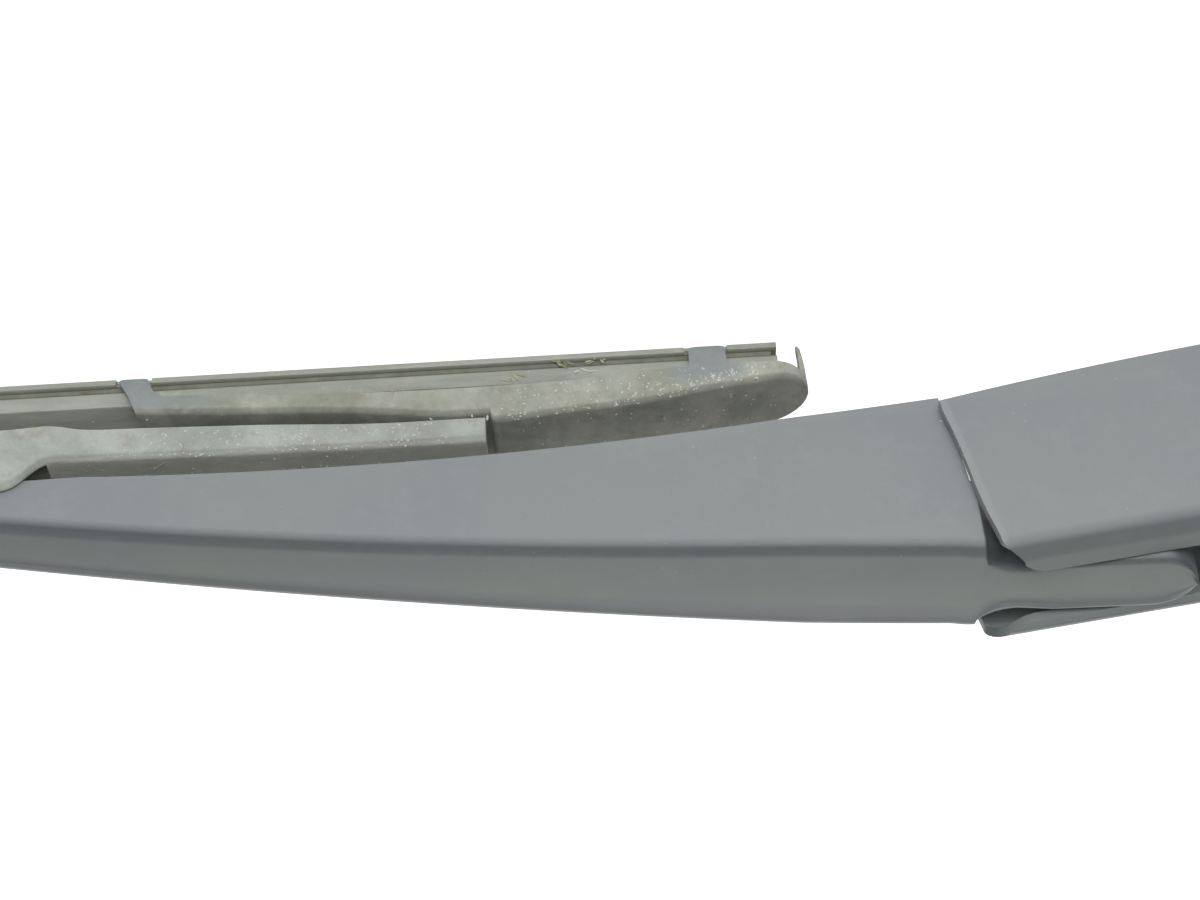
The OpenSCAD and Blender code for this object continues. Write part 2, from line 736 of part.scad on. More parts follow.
// Yokes: side profile seen from the near side, x counted from the yoke's pin, outward negative
yoke_inner_end = claw_in + 0.2;
yoke_edge_z = -5.7;
claw_t = 0.6;
claw_gap = 0.1;
claw_z = base_z + notch_h - claw_gap - claw_t;
claw_out_l = 6.2;
claw_in_l = 5;
claw_tip_hw = notch_hw + claw_gap + claw_t;
module yoke_side() {
    e = yoke_reach_out;
    polygon([
        [-e - 1, yoke_edge_z + 0.3], [-e - 1, -4.4], [-e + 2.6, -3], [-e * 0.87, -2.1], [-e * 0.7, -0.6],
        [-e * 0.54, 1.2], [-e * 0.31, 2.3], [-yoke_pin_d * 3.45, yoke_pin_z], [-yoke_pin_d * 3.36, 1.6],
        [0, 1.6], [claw_in * 0.2, 0.2], [claw_in * 0.47, -1], [claw_in * 0.78, -1.9],
        [yoke_inner_end, -2.9], [yoke_inner_end + 0.6, yoke_edge_z], [claw_in - 4, yoke_edge_z],
        [claw_in * 0.68, -5.3], [claw_in * 0.45, -4.2], [0, -3.7], [-e * 0.31, -4],
        [-e * 0.54, -5.2], [-e * 0.7, yoke_edge_z]
    ]);
}
module yoke_hollow() {
    e = yoke_reach_out;
    polygon([
        [-e, -9], [-e, -4.5], [-e * 0.87, -3.5], [-e * 0.7, -2], [-e * 0.54, -0.2], [-e * 0.31, 0.6],
        [-yoke_pin_d * 3.45, 0.3], [claw_in * 0.2, -1.1], [claw_in * 0.47, -2.3], [claw_in * 0.78, -3.2],
        [claw_in * 1.1, -4.3], [claw_in * 1.1, -9]
    ]);
}
// Plan of a yoke: straight sides and a round outer end
module yoke_plan(hw) {
    translate([0, 0, -20])
        linear_extrude(height = 40)
            union() {
                translate([-yoke_reach_out + yoke_hw, 0])
                    circle(r = hw, $fn = 96);
                translate([-yoke_reach_out + yoke_hw, -hw])
                    square([yoke_reach_out + 2 * claw_in, 2 * hw]);
            }
}
// Claw: its sides in the XZ plane, cut to a section in the YZ plane that leans in to the rubber
module claw(x, len, lean) {
    across(yoke_w)
        polygon([
            [x - len / 2 - lean - 0.8, yoke_edge_z + 0.8], [x + len / 2 - lean * 1.2 + 0.8, yoke_edge_z + 0.8],
            [x + len / 2, claw_z], [x - len / 2, claw_z]
        ]);
}
module claw_section() {
    rotate([90, 0, 90])
        linear_extrude(height = 3 * yoke_reach_out, center = true)
            for (s = [-1, 1])
                mirror([s < 0 ? 1 : 0, 0])
                    polygon([
                        [yoke_hw, 0], [yoke_hw, yoke_edge_z], [claw_tip_hw, claw_z + 0.4],
                        [claw_tip_hw - 0.3, claw_z], [rail_hw - 1.7, claw_z], [rail_hw - 1.7, claw_z + claw_t],
                        [claw_tip_hw - claw_t, claw_z + claw_t], [yoke_hw - yoke_wall, yoke_edge_z],
                        [yoke_hw - yoke_wall, 0]
                    ]);
}
module yoke() {
    notch_r = 8.5;
    difference() {
        union() {
            difference() {
                intersection() {
                    across(yoke_w)
                        yoke_side();
                    yoke_plan(yoke_hw);
                }
                intersection() {
                    across(yoke_w)
                        yoke_hollow();
                    yoke_plan(yoke_hw - yoke_wall);
                }
                // Notch in the inner end of the yoke's back
                translate([yoke_inner_end + notch_r - 3, 0, -20])
                    cylinder(r = notch_r, h = 40, $fn = 96);
            }
            intersection() {
                union() {
                    claw(-claw_out, claw_out_l, 0);
                    claw(claw_in, claw_in_l, 2);
                }
                claw_section();
            }
            // Ears for the yoke's pin
            for (s = [-1, 1])
                translate([0, s * 3.6, 0])
                    across(1.6)
                        union() {
                            translate([0, yoke_pin_z])
                                circle(d = yoke_pin_d + 1.8, $fn = 32);
                            translate([-yoke_pin_d / 2 - 0.9, -1])
                                square([yoke_pin_d + 1.8, yoke_pin_z + 1]);
                        }
            // Stop at the end of the rubber
            across(3)
                polygon([
                    [-yoke_reach_out + 0.25, -4.8], [-yoke_reach_out + 0.25, base_z - 2],
                    [-yoke_reach_out + 0.7, base_z - 2.6], [-yoke_reach_out + 1.2, base_z - 2],
                    [-yoke_reach_out + 1.2, -4.6]
                ]);
        }
        pin_bar(0, yoke_pin_z, yoke_pin_d + 2 * pin_gap, -yoke_w, yoke_w);
    }
}
module yoke_heel() {
    color("#41463f")
        translate([pivot_x - yoke_pitch, 0, 0])
            yoke();
}
module yoke_toe() {
    color("#41463f")
        translate([pivot_x + yoke_pitch, 0, 0])
            mirror([1, 0, 0])
                yoke();
}
module yoke_pin(x) {
    color("#9a9c9e")
        pin_bar(x, yoke_pin_z, yoke_pin_d, -bow_hw + 0.5, bow_hw - 0.2);
}
module yoke_pin_heel() { yoke_pin(pivot_x - yoke_pitch); }
module yoke_pin_toe() { yoke_pin(pivot_x + yoke_pitch); }

// Section of the rubber: a groove in each side for a flexor, a thin neck, wings and a lip
flexor_z = base_z + low_rail_h + groove_mouth_h / 2;
groove_gap = 0.08;
flexor_inner = rubber_w / 2 - flexor_w - 0.5;
groove_inner = flexor_inner - groove_gap;
wing_hw = 2.6;
neck_hw = 0.7;
lip_hw = 0.35;
module rubber_section() {
    hw = rubber_w / 2;
    g = flexor_t / 2 + groove_gap;
    half = [
        [hw, base_top_z], [hw, base_z + low_rail_h + groove_mouth_h],
        [hw - 0.4, flexor_z + g], [groove_inner, flexor_z + g],
        [groove_inner, flexor_z - g], [hw - 0.4, flexor_z - g],
        [rail_hw, base_z + low_rail_h], [rail_hw, base_z], [neck_hw, base_z],
        [neck_hw, base_z - 0.7], [wing_hw, base_z - 0.8], [wing_hw, base_z - 1.3],
        [lip_hw * 3, base_z - 2], [lip_hw, glass_z]
    ];
    polygon(concat(half, mirrored(half)));
}
module along(l) {
    translate([pivot_x, 0, 0])
        rotate([90, 0, 90])
            linear_extrude(height = l, center = true)
                children();
}
// Room for a claw round the rubber's lower rail
module claw_notch(x, len) {
    for (s = [-1, 1])
        mirror([0, s > 0 ? 0 : 1, 0])
            translate([x - len / 2 - 0.5, 0, 0]) {
                translate([0, notch_hw, base_z - 1])
                    cube([len + 1, 2, low_rail_h + 1.1]);
                translate([0, rail_hw - 1.9, base_z - 0.5])
                    cube([len + 1, 3, notch_h + 0.5]);
            }
}
module wiper_rubber() {
    color("#2c2e2c")
        difference() {
            along(blade_length)
                rubber_section();
            for (s = [-1, 1]) {
                claw_notch(pivot_x + s * (yoke_pitch + claw_out), claw_out_l);
                claw_notch(pivot_x + s * (yoke_pitch - claw_in), claw_in_l);
            }
        }
}
module flexor(side) {
    color("#7c7f80")
        along(blade_length - 2)
            mirror([side < 0 ? 1 : 0, 0])
                translate([flexor_inner, flexor_z - flexor_t / 2])
                    square([flexor_w, flexor_t]);
}
module flexor_near() { flexor(-1); }
module flexor_far() { flexor(1); }

head_shell();
spindle_bush();
nut_cover();
nut_cover_pin();
hinge_pin();
hinge_bush_near();
hinge_bush_far();
link_pin();
spring_link();
tension_spring();
anchor_pin();
arm_shell();
blade_clip();
blade_pin();
primary_bow();
yoke_heel();
yoke_toe();
yoke_pin_heel();
yoke_pin_toe();
wiper_rubber();
flexor_near();
flexor_far();
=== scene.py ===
import math
import random

import bmesh
import bpy
from mathutils import Matrix, Vector


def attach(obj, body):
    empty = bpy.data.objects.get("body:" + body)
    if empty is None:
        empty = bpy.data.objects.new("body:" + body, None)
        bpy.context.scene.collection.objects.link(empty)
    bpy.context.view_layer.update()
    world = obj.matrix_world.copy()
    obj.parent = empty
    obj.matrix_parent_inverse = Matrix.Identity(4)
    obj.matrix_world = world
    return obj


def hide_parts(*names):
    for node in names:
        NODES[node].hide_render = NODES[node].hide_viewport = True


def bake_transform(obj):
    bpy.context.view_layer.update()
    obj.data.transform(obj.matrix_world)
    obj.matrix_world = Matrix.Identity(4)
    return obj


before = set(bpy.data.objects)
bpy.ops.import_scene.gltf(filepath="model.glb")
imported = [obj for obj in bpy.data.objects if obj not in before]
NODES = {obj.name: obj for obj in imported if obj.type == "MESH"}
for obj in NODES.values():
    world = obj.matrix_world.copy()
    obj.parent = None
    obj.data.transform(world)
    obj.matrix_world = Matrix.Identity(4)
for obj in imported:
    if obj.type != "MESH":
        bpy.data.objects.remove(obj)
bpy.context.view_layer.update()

MM = 0.001
scene = bpy.context.scene
scene.view_settings.view_transform = "Standard"

# Camera
PHI = math.radians(37)
ROLL = math.radians(3.3)
TARGET = Vector((0.1358, 0, 0.006))
DISTANCE = 0.365
LENS = 65.7


def make_camera():
    away = Vector((0, -math.cos(PHI), math.sin(PHI)))
    up0 = Vector((0, -math.sin(PHI), -math.cos(PHI)))
    right0 = Vector((-1, 0, 0))
    right = right0 * math.cos(ROLL) - up0 * math.sin(ROLL)
    up = right0 * math.sin(ROLL) + up0 * math.cos(ROLL)
    data = bpy.data.cameras.new("camera")
    data.lens = LENS
    data.sensor_width = 36
    data.clip_start = 0.01
    data.clip_end = 20
    cam = bpy.data.objects.new("camera", data)
    place = TARGET + away * DISTANCE
    cam.matrix_world = Matrix((
        (right.x, up.x, away.x, place.x),
        (right.y, up.y, away.y, place.y),
        (right.z, up.z, away.z, place.z),
        (0, 0, 0, 1),
    ))
    scene.collection.objects.link(cam)
    scene.camera = cam


make_camera()

# Materials


class Graph:
    """Short calls for building the nodes of a new material or world."""

    def __init__(self, owner):
        self.owner = owner
        owner.use_nodes = True
        self.nodes = owner.node_tree.nodes
        self.links = owner.node_tree.links
        self.bsdf = self.nodes.get("Principled BSDF")
        place = self.nodes.new("ShaderNodeTexCoord").outputs
        self.coord, self.facing, self.direction = place["Object"], place["Normal"], place["Generated"]

    def link(self, a, b):
        self.links.new(a, b)

    def mapped(self, scale):
        m = self.nodes.new("ShaderNodeMapping")
        m.inputs["Scale"].default_value = scale
        self.link(self.coord, m.inputs["Vector"])
        return m.outputs["Vector"]

    def texture(self, kind, vector, output, **inputs):
        n = self.nodes.new(kind)
        for socket, v in inputs.items():
            n.inputs[socket].default_value = v
        self.link(vector or self.coord, n.inputs["Vector"])
        return n.outputs[output]

    def noise(self, scale, detail=4, rough=0.55, vector=None, distortion=0.0):
        return self.texture("ShaderNodeTexNoise", vector, "Fac", Scale=scale, Detail=detail,
                            Roughness=rough, Distortion=distortion)

    def voronoi(self, scale):
        return self.texture("ShaderNodeTexVoronoi", None, "Distance", Scale=scale)

    def ramp(self, fac, stops):
        n = self.nodes.new("ShaderNodeValToRGB")
        cr = n.color_ramp
        while len(cr.elements) < len(stops):
            cr.elements.new(0.5)
        for e, (pos, v) in zip(cr.elements, stops):
            e.position = pos
            e.color = (v, v, v, 1) if isinstance(v, (int, float)) else (*v, 1)
        self.link(fac, n.inputs["Fac"])
        return n.outputs["Color"]

    def mix(self, fac, a, b, mode="MIX"):
        n = self.nodes.new("ShaderNodeMix")
        n.data_type = "RGBA"
        n.blend_type = mode
        self._put(n.inputs["Factor"], fac)
        self._put(n.inputs[6], a)
        self._put(n.inputs[7], b)
        return n.outputs[2]

    def fade(self, fac, low, high, most=1.0):
        """Rises from 0 where fac is low to most where it is high."""
        return self.ramp(fac, [(low, 0.0), (high, most)])

    def cover(self, colour, over, fac, low, high, most=1.0):
        """The colour with another laid over it where fac is high."""
        return self.mix(self.fade(fac, low, high, most), colour, over)

    def math(self, op, a, b=0.0):
        n = self.nodes.new("ShaderNodeMath")
        n.operation = op
        n.use_clamp = True
        self._put(n.inputs[0], a)
        self._put(n.inputs[1], b)
        return n.outputs[0]

    def axis(self, which, vector=None):
        n = self.nodes.new("ShaderNodeSeparateXYZ")
        self.link(vector or self.coord, n.inputs[0])
        return n.outputs[which]

    def normal_axis(self, which):
        return self.axis(which, self.facing)

    def times(self, a, b):
        return self.math("MULTIPLY", a, b)

    def dot(self, vector, direction):
        n = self.nodes.new("ShaderNodeVectorMath")
        n.operation = "DOT_PRODUCT"
        self.link(vector, n.inputs[0])
        n.inputs[1].default_value = direction
        return n.outputs["Value"]

    def span(self, value, a, b, at_a=0.0, at_b=1.0):
        """Smooth step from at_a where value is a to at_b where it is b."""
        n = self.nodes.new("ShaderNodeMapRange")
        n.interpolation_type = "SMOOTHSTEP"
        for socket, v in (("From Min", a), ("From Max", b), ("To Min", at_a), ("To Max", at_b)):
            n.inputs[socket].default_value = v
        self.link(value, n.inputs["Value"])
        return n.outputs["Result"]

    def _put(self, socket, v):
        if isinstance(v, (int, float)):
            socket.default_value = v
        elif isinstance(v, tuple):
            socket.default_value = (*v, 1)
        else:
            self.link(v, socket)

    def bump(self, *layers):
        last = None
        for height, strength, distance in layers:
            n = self.nodes.new("ShaderNodeBump")
            n.inputs["Strength"].default_value = strength
            n.inputs["Distance"].default_value = distance
            self.link(height, n.inputs["Height"])
            if last is not None:
                self.link(last, n.inputs["Normal"])
            last = n.outputs["Normal"]
        self.link(last, self.bsdf.inputs["Normal"])

    def finish(self, colour, rough, metallic=0.0, specular=0.5):
        self._put(self.bsdf.inputs["Base Color"], colour)
        self._put(self.bsdf.inputs["Roughness"], rough)
        self.bsdf.inputs["Metallic"].default_value = metallic
        self.bsdf.inputs["Specular IOR Level"].default_value = specular
        return self.owner


def material_graph(name):
    return Graph(bpy.data.materials.new(name))


# Colours of wear and dirt, and of painted shade, light and highlights
PALE_SPECK = (0.55, 0.55, 0.5)
SEAM_SHADE = (0.055, 0.065, 0.072)
FAR_EDGE_HIGHLIGHT, CHEEK_EDGE_HIGHLIGHT = (0.46, 0.48, 0.46), (0.46, 0.48, 0.47)
CHIP = (0.50, 0.49, 0.42)
TOP_LIGHT_PALE = (0.62, 0.61, 0.52)
CLAW_BLUE, CLAW_WORN = (0.292, 0.335, 0.345), (0.44, 0.47, 0.45)
RUST = (0.16, 0.13, 0.10)


def coat_material(name, base, cool, dust, rough_low, rough_high, crease_shade, inside=0.0, seam=False):
    """Satin coat on pressed steel: faint mottling, long handling marks, dust and tiny bright specks, with
    painted shade, shadow and highlights on its corners and at the seam.
    """
    g = material_graph(name)
    broad = g.noise(38, 4, 0.6)
    colour = g.cover(base, cool, broad, 0.38, 0.66)
    streaks = g.noise(60, 5, 0.7, g.mapped((0.12, 1.0, 1.0)))
    colour = g.cover(colour, dust, streaks, 0.52, 0.78, 0.28)
    film = g.noise(150, 8, 0.72)
    colour = g.cover(colour, dust, film, 0.5, 0.82, 0.4)
    specks = g.voronoi(520)
    where = g.fade(g.noise(90, 3, 0.6), 0.54, 0.62)
    speck = g.times(g.ramp(specks, [(0.05, 1.0), (0.10, 0.0)]), where)
    colour = g.mix(g.times(speck, 0.45), colour, PALE_SPECK)
    # Painted shade and reflection: the long near corner is shaded dark, the back is greener and darkens towards
    # that corner, and the far corner gets a painted dark line
    up, away = g.normal_axis(2), g.normal_axis(1)
    middle = (1 + crease_shade) / 2
    crease_shade_colour = (crease_shade * 0.92, crease_shade, crease_shade * 1.02)
    near = g.ramp(up, [(0.04, 1.0), (0.28, middle), (0.6, crease_shade_colour), (0.9, middle * 0.84)])
    back_tint_and_shade = g.mix(g.span(g.axis(1), -0.009, 0.007), (0.78, 0.84, 0.79), (0.96, 1.0, 0.92))
    near = g.mix(g.span(up, 0.9, 0.995), near, back_tint_and_shade)
    far = g.ramp(away, [(0.05, 0.86), (0.085, 0.6), (0.13, 1.0)])
    colour = g.mix(1.0, colour, g.mix(g.span(away, 0.02, 0.05), near, far), "MULTIPLY")
    # Painted shadow in the seam: faces that look back towards the spindle are darkened
    colour = g.mix(g.times(g.span(g.normal_axis(0), -0.15, -0.5), inside), colour, SEAM_SHADE)
    # Painted highlight along the far corner's edge
    lip = g.times(g.span(away, 0.12, 0.2), g.span(away, 0.8, 0.65))
    colour = g.mix(g.times(lip, 0.55), colour, FAR_EDGE_HIGHLIGHT)
    if seam:
        # Rolled edge of the cheeks, with a painted highlight
        from_seam = g.dot(g.coord, (1, 0, 0.2017))
        edge = g.times(g.span(from_seam, 0.0814, 0.0822), g.span(up, 0.5, 0.2))
        colour = g.mix(g.times(edge, 0.2), colour, CHEEK_EDGE_HIGHLIGHT)
    grain = g.noise(1400, 4, 0.6)
    waves = g.noise(22, 2, 0.5)
    g.bump((grain, 0.12, 0.0002), (waves, 0.10, 0.004))
    rough = g.cover((rough_low,) * 3, (rough_high,) * 3, film, 0.3, 0.7)
    return g.finish(colour, rough, 0.0, 0.5)


def dirty_material(name, base, grey, olive, pale, speck_share, rough, shade, claws=(), painted_top_light=0.0):
    """Weathered black coat under road dirt: brown and grey mottling, lichen green, grit and chips, with painted
    shade by facing and a painted lighter back.
    """
    g = material_graph(name)
    broad = g.noise(95, 6, 0.68, None, 0.4)
    colour = g.cover(base, grey, broad, 0.40, 0.62)
    brown = g.noise(210, 8, 0.75)
    colour = g.cover(colour, olive, brown, 0.50, 0.70, 0.75)
    film = g.noise(480, 10, 0.8)
    colour = g.cover(colour, pale, film, 0.54, 0.74, 0.6)
    grit = g.voronoi(640)
    where = g.fade(g.noise(120, 4, 0.7), 0.5, 0.6)
    chips = g.times(g.ramp(grit, [(0.09, 1.0), (0.17, 0.0)]), where)
    colour = g.mix(g.times(chips, speck_share), colour, CHIP)
    up = g.normal_axis(2)
    side, corner, back = shade
    # Painted shade by facing: sides, long corners and back are darkened by their shares in shade
    colour = g.mix(1.0, colour, g.ramp(up, [(0.15, side), (0.5, corner), (0.9, back)]), "MULTIPLY")
    # Painted light: the back is lightened towards a pale colour
    colour = g.mix(g.times(g.span(up, 0.5, 0.9), painted_top_light), colour, TOP_LIGHT_PALE)
    # Round the claws the coat is smooth and bluer
    x = g.axis(0)
    cleaner = None
    for low_x, high_x, fade_low, fade_high in claws:
        one = g.times(g.span(x, low_x - fade_low, low_x), g.span(x, high_x + fade_high, high_x))
        cleaner = one if cleaner is None else g.math("MAXIMUM", cleaner, one)
    if cleaner is not None:
        cleaner = g.times(cleaner, g.span(up, 0.5, 0.2))
        cleaner = g.times(cleaner, g.span(g.axis(2), -0.0012, -0.0042))
        smooth = g.cover(CLAW_BLUE, CLAW_WORN, film, 0.42, 0.8, 0.5)
        colour = g.mix(g.times(cleaner, 0.85), colour, smooth)
    crust = g.noise(900, 8, 0.8)
    g.bump((crust, 0.45, 0.0004), (chips, 0.4, 0.0003), (brown, 0.2, 0.0006))
    rough_map = g.cover((rough,) * 3, (min(rough + 0.2, 1.0),) * 3, film, 0.3, 0.7)
    return g.finish(colour, rough_map, 0.0, 0.35)


def rubber_material():
    g = material_graph("rubber")
    along = g.noise(130, 6, 0.7, g.mapped((0.15, 1.0, 1.0)))
    colour = g.cover((0.31, 0.325, 0.285), (0.50, 0.52, 0.47), along, 0.35, 0.65)
    lichen = g.noise(170, 8, 0.78, None, 0.6)
    colour = g.cover(colour, (0.50, 0.51, 0.37), lichen, 0.55, 0.68, 0.8)
    chalk = g.noise(420, 8, 0.8)
    colour = g.cover(colour, (0.70, 0.71, 0.64), chalk, 0.58, 0.74, 0.65)
    # Painted shade in the sides' grooves: a darker olive there
    groove = g.times(g.span(g.axis(2), -0.01015, -0.0098), g.span(g.axis(2), -0.00825, -0.00855))
    colour = g.mix(g.times(groove, 0.7), colour, (0.25, 0.26, 0.205))
    crust = g.noise(700, 8, 0.8)
    g.bump((crust, 0.4, 0.0003), (along, 0.25, 0.0006))
    return g.finish(colour, 0.78, 0.0, 0.3)


def steel_material(name, base, dark, rough, metallic=1.0, scale=300):
    """Dull plated steel with fine drawn lines and darker stains."""
    g = material_graph(name)
    lines = g.noise(scale, 6, 0.7, g.mapped((1.0, 0.08, 1.0)))
    colour = g.cover(base, dark, lines, 0.35, 0.65)
    stain = g.noise(160, 6, 0.7)
    colour = g.cover(colour, RUST, stain, 0.55, 0.72, 0.7)
    g.bump((lines, 0.15, 0.0001), (stain, 0.15, 0.0003))
    rough_map = g.cover((rough,) * 3, (min(rough + 0.3, 1),) * 3, stain, 0.45, 0.7)
    return g.finish(colour, rough_map, metallic, 0.5)


def plastic_material(name, base, crease_shade_colour, rough):
    g = material_graph(name)
    broad = g.noise(70, 6, 0.65)
    colour = g.cover(base, crease_shade_colour, broad, 0.4, 0.7)
    grain = g.noise(1100, 4, 0.6)
    g.bump((grain, 0.25, 0.0002), (broad, 0.08, 0.001))
    rough_map = g.cover((rough,) * 3, (min(rough + 0.15, 1),) * 3, broad, 0.4, 0.7)
    return g.finish(colour, rough_map, 0.0, 0.4)


def fleck_material(name, colour, tint):
    g = material_graph(name)
    n = g.noise(900, 4, 0.6)
    g.bump((n, 0.5, 0.0002))
    return g.finish(g.mix(n, colour, tint), 0.8, 0.0, 0.3)


COAT_DUST = (0.36, 0.378, 0.36)
ARM_COAT = coat_material("arm_coat", (0.255, 0.278, 0.276), (0.25, 0.262, 0.282), COAT_DUST,
                         0.42, 0.58, 0.42, inside=0.8)
HEAD_COAT = coat_material("head_coat", (0.258, 0.282, 0.278), (0.25, 0.264, 0.278), COAT_DUST,
                          0.42, 0.58, 0.52, seam=True)
BOW_COAT = dirty_material("bow_coat", (0.38, 0.405, 0.375), (0.52, 0.55, 0.52), (0.33, 0.31, 0.24),
                          (0.64, 0.65, 0.58), 0.7, 0.6, (0.98, 0.8, 1.0), painted_top_light=0.45)
# Smooth bands at the claws, as (from, to, fade before, fade after) along X in metres
CLAW_BANDS = ((0.1130, 0.1210, 0.004, 0.004), (0.2110, 0.2180, 0.016, 0.003),
              (0.4390, 0.4470, 0.004, 0.004), (0.3420, 0.3490, 0.003, 0.016))
YOKE_COAT = dirty_material("yoke_coat", (0.34, 0.36, 0.305), (0.50, 0.51, 0.45), (0.30, 0.28, 0.205),
                           (0.64, 0.65, 0.56), 0.8, 0.75, (1.0, 0.72, 0.8), CLAW_BANDS)
RUBBER = rubber_material()
PIN_STEEL = steel_material("pin_steel", (0.50, 0.50, 0.48), (0.36, 0.36, 0.35), 0.38)
LINK_STEEL = steel_material("link_steel", (0.44, 0.44, 0.43), (0.30, 0.30, 0.29), 0.45)
SPRING_STEEL = steel_material("spring_steel", (0.36, 0.36, 0.34), (0.24, 0.23, 0.21), 0.42)
FLEXOR_STEEL = steel_material("flexor_steel", (0.25, 0.255, 0.21), (0.17, 0.175, 0.14), 0.7, 0.15, 200)
BUSH_ZINC = steel_material("bush_zinc", (0.42, 0.42, 0.41), (0.30, 0.30, 0.29), 0.55)
BUSH_PLASTIC = plastic_material("bush_plastic", (0.62, 0.58, 0.47), (0.48, 0.44, 0.34), 0.5)
CLIP_PLASTIC = plastic_material("clip_plastic", (0.055, 0.058, 0.060), (0.10, 0.10, 0.098), 0.5)
COVER_PLASTIC = plastic_material("cover_plastic", (0.15, 0.165, 0.172), (0.20, 0.21, 0.215), 0.52)
PALE_FLECK = fleck_material("pale_fleck", (0.80, 0.80, 0.75), (0.60, 0.59, 0.53))
STRAW = fleck_material("straw", (0.62, 0.58, 0.42), (0.46, 0.42, 0.30))
GREEN_FLECK = fleck_material("green_fleck", (0.42, 0.44, 0.25), (0.30, 0.31, 0.18))


def paint(obj, material):
    obj.data.materials.clear()
    obj.data.materials.append(material)


# Meshes


def smooth_step(t):
    t = min(max(t, 0.0), 1.0)
    return t * t * (3 - 2 * t)


def along_table(table, x):
    """Smooth curve through three or more (place, value) pairs in rising order of place."""
    n = len(table)
    if x <= table[0][0]:
        return table[0][1]
    if x >= table[-1][0]:
        return table[-1][1]
    i = max(k for k in range(n - 1) if table[k][0] <= x)
    x0, y0 = table[i]
    x1, y1 = table[i + 1]

    def rise(j):
        return (table[j + 1][1] - table[j][1]) / (table[j + 1][0] - table[j][0])

    def slope(k):
        if k in (0, n - 1):
            return rise(min(k, n - 2))
        a, b = rise(k - 1), rise(k)
        return 0.0 if a * b <= 0 else 2 * a * b / (a + b)

    h = x1 - x0
    t = (x - x0) / h
    m0, m1 = slope(i) * h, slope(i + 1) * h
    return ((2 * t ** 3 - 3 * t ** 2 + 1) * y0 + (t ** 3 - 2 * t ** 2 + t) * m0
            + (-2 * t ** 3 + 3 * t ** 2) * y1 + (t ** 3 - t ** 2) * m1)


def to_object(name, bm, material, smooth=True):
    bmesh.ops.recalc_face_normals(bm, faces=bm.faces)
    mesh = bpy.data.meshes.new(name)
    bm.to_mesh(mesh)
    bm.free()
    mesh.transform(Matrix.Scale(MM, 4))
    if smooth:
        mesh.shade_smooth()
    obj = bpy.data.objects.new(name, mesh)
    scene.collection.objects.link(obj)
    paint(obj, material)
    return obj


def loft(bm, rows):
    """Faces between closed rings of vertices, with a cap at each end."""
    n = len(rows[0])
    for a, b in zip(rows, rows[1:]):
        for k in range(n):
            m = (k + 1) % n
            bm.faces.new((a[k], a[m], b[m], b[k]))
    bm.faces.new(rows[0])
    bm.faces.new(rows[-1])


def apply_modifiers(obj):
    """Turns the modifiers of obj into its mesh."""
    bpy.context.view_layer.update()
    graph = bpy.context.evaluated_depsgraph_get()
    mesh = bpy.data.meshes.new_from_object(obj.evaluated_get(graph))
    old = obj.data
    obj.modifiers.clear()
    obj.data = mesh
    bpy.data.meshes.remove(old)


def bevel(obj, width, segments=3, angle=40, weight=False):
    m = obj.modifiers.new("bevel", "BEVEL")
    m.width = width * MM
    m.segments = segments
    m.limit_method = "WEIGHT" if weight else "ANGLE"
    m.angle_limit = math.radians(angle)
    m.harden_normals = True
    m.miter_outer = "MITER_ARC"


def discard(objects):
    for o in objects:
        mesh = o.data
        bpy.data.objects.remove(o)
        bpy.data.meshes.remove(mesh)


def join(main, others):
    """Adds the meshes of the other objects to main and removes them."""
    bm = bmesh.new()
    for o in [main, *others]:
        bm.from_mesh(o.data)
    bm.to_mesh(main.data)
    bm.free()
    discard(others)


def cut(obj, cutters):
    """Takes the cutters' shapes off obj and removes the cutters."""
    for c in cutters:
        m = obj.modifiers.new("cut", "BOOLEAN")
        m.operation = "DIFFERENCE"
        m.solver = "EXACT"
        m.object = c
    apply_modifiers(obj)
    discard(cutters)


def tube(name, centre, axis, inner, outer, length, material, edge=0.2, steps=48):
    """Ring with chamfered edges from its centre point along the axis, or a bar where inner is 0."""
    profile = [(inner, 0), (outer - edge, 0), (outer, edge), (outer, length - edge),
               (outer - edge, length), (inner, length)]
    bm = bmesh.new()
    z = Vector(axis).normalized()
    x = z.orthogonal().normalized()
    y = z.cross(x)
    rings = []
    for r, h in profile:
        middle = Vector(centre) + z * h
        angles = [2 * math.pi * k / steps for k in range(steps if r else 1)]
        rings.append([bm.verts.new(middle + (x * math.cos(a) + y * math.sin(a)) * r) for a in angles])
    pairs = list(zip(rings, rings[1:]))
    if all(len(ring) > 1 for ring in rings):
        pairs.append((rings[-1], rings[0]))
    for a, b in pairs:
        for k in range(steps):
            n = (k + 1) % steps
            # A ring of one point makes triangles
            corners = (a[k % len(a)], b[k % len(b)], b[n % len(b)], a[n % len(a)])
            bm.faces.new(tuple(dict.fromkeys(corners)))
    obj = to_object(name, bm, material)
    obj.data.set_sharp_from_angle(angle=math.radians(35))
    return obj


def channel_points(hw, back, edge, r, crown, wall_n=7, arc_n=9, top_n=5):
    """Section of a channel from the near edge over the back to the far edge, as (y, z)."""
    r = min(r, hw * 0.95)
    side = [(-hw, edge + (back - r - edge) * k / wall_n) for k in range(wall_n)]
    side += [(-hw + r - r * math.cos(math.pi / 2 * k / arc_n), back - r + r * math.sin(math.pi / 2 * k / arc_n))
             for k in range(arc_n + 1)]
    inner = hw - r
    for k in range(1, top_n + 1):
        y = -inner + inner * k / top_n
        u = 1 - (y / inner) ** 2 if inner > 1e-6 else 1
        side.append((y, back + crown * u))
    return side + [(-y, z) for y, z in reversed(side[:-1])]


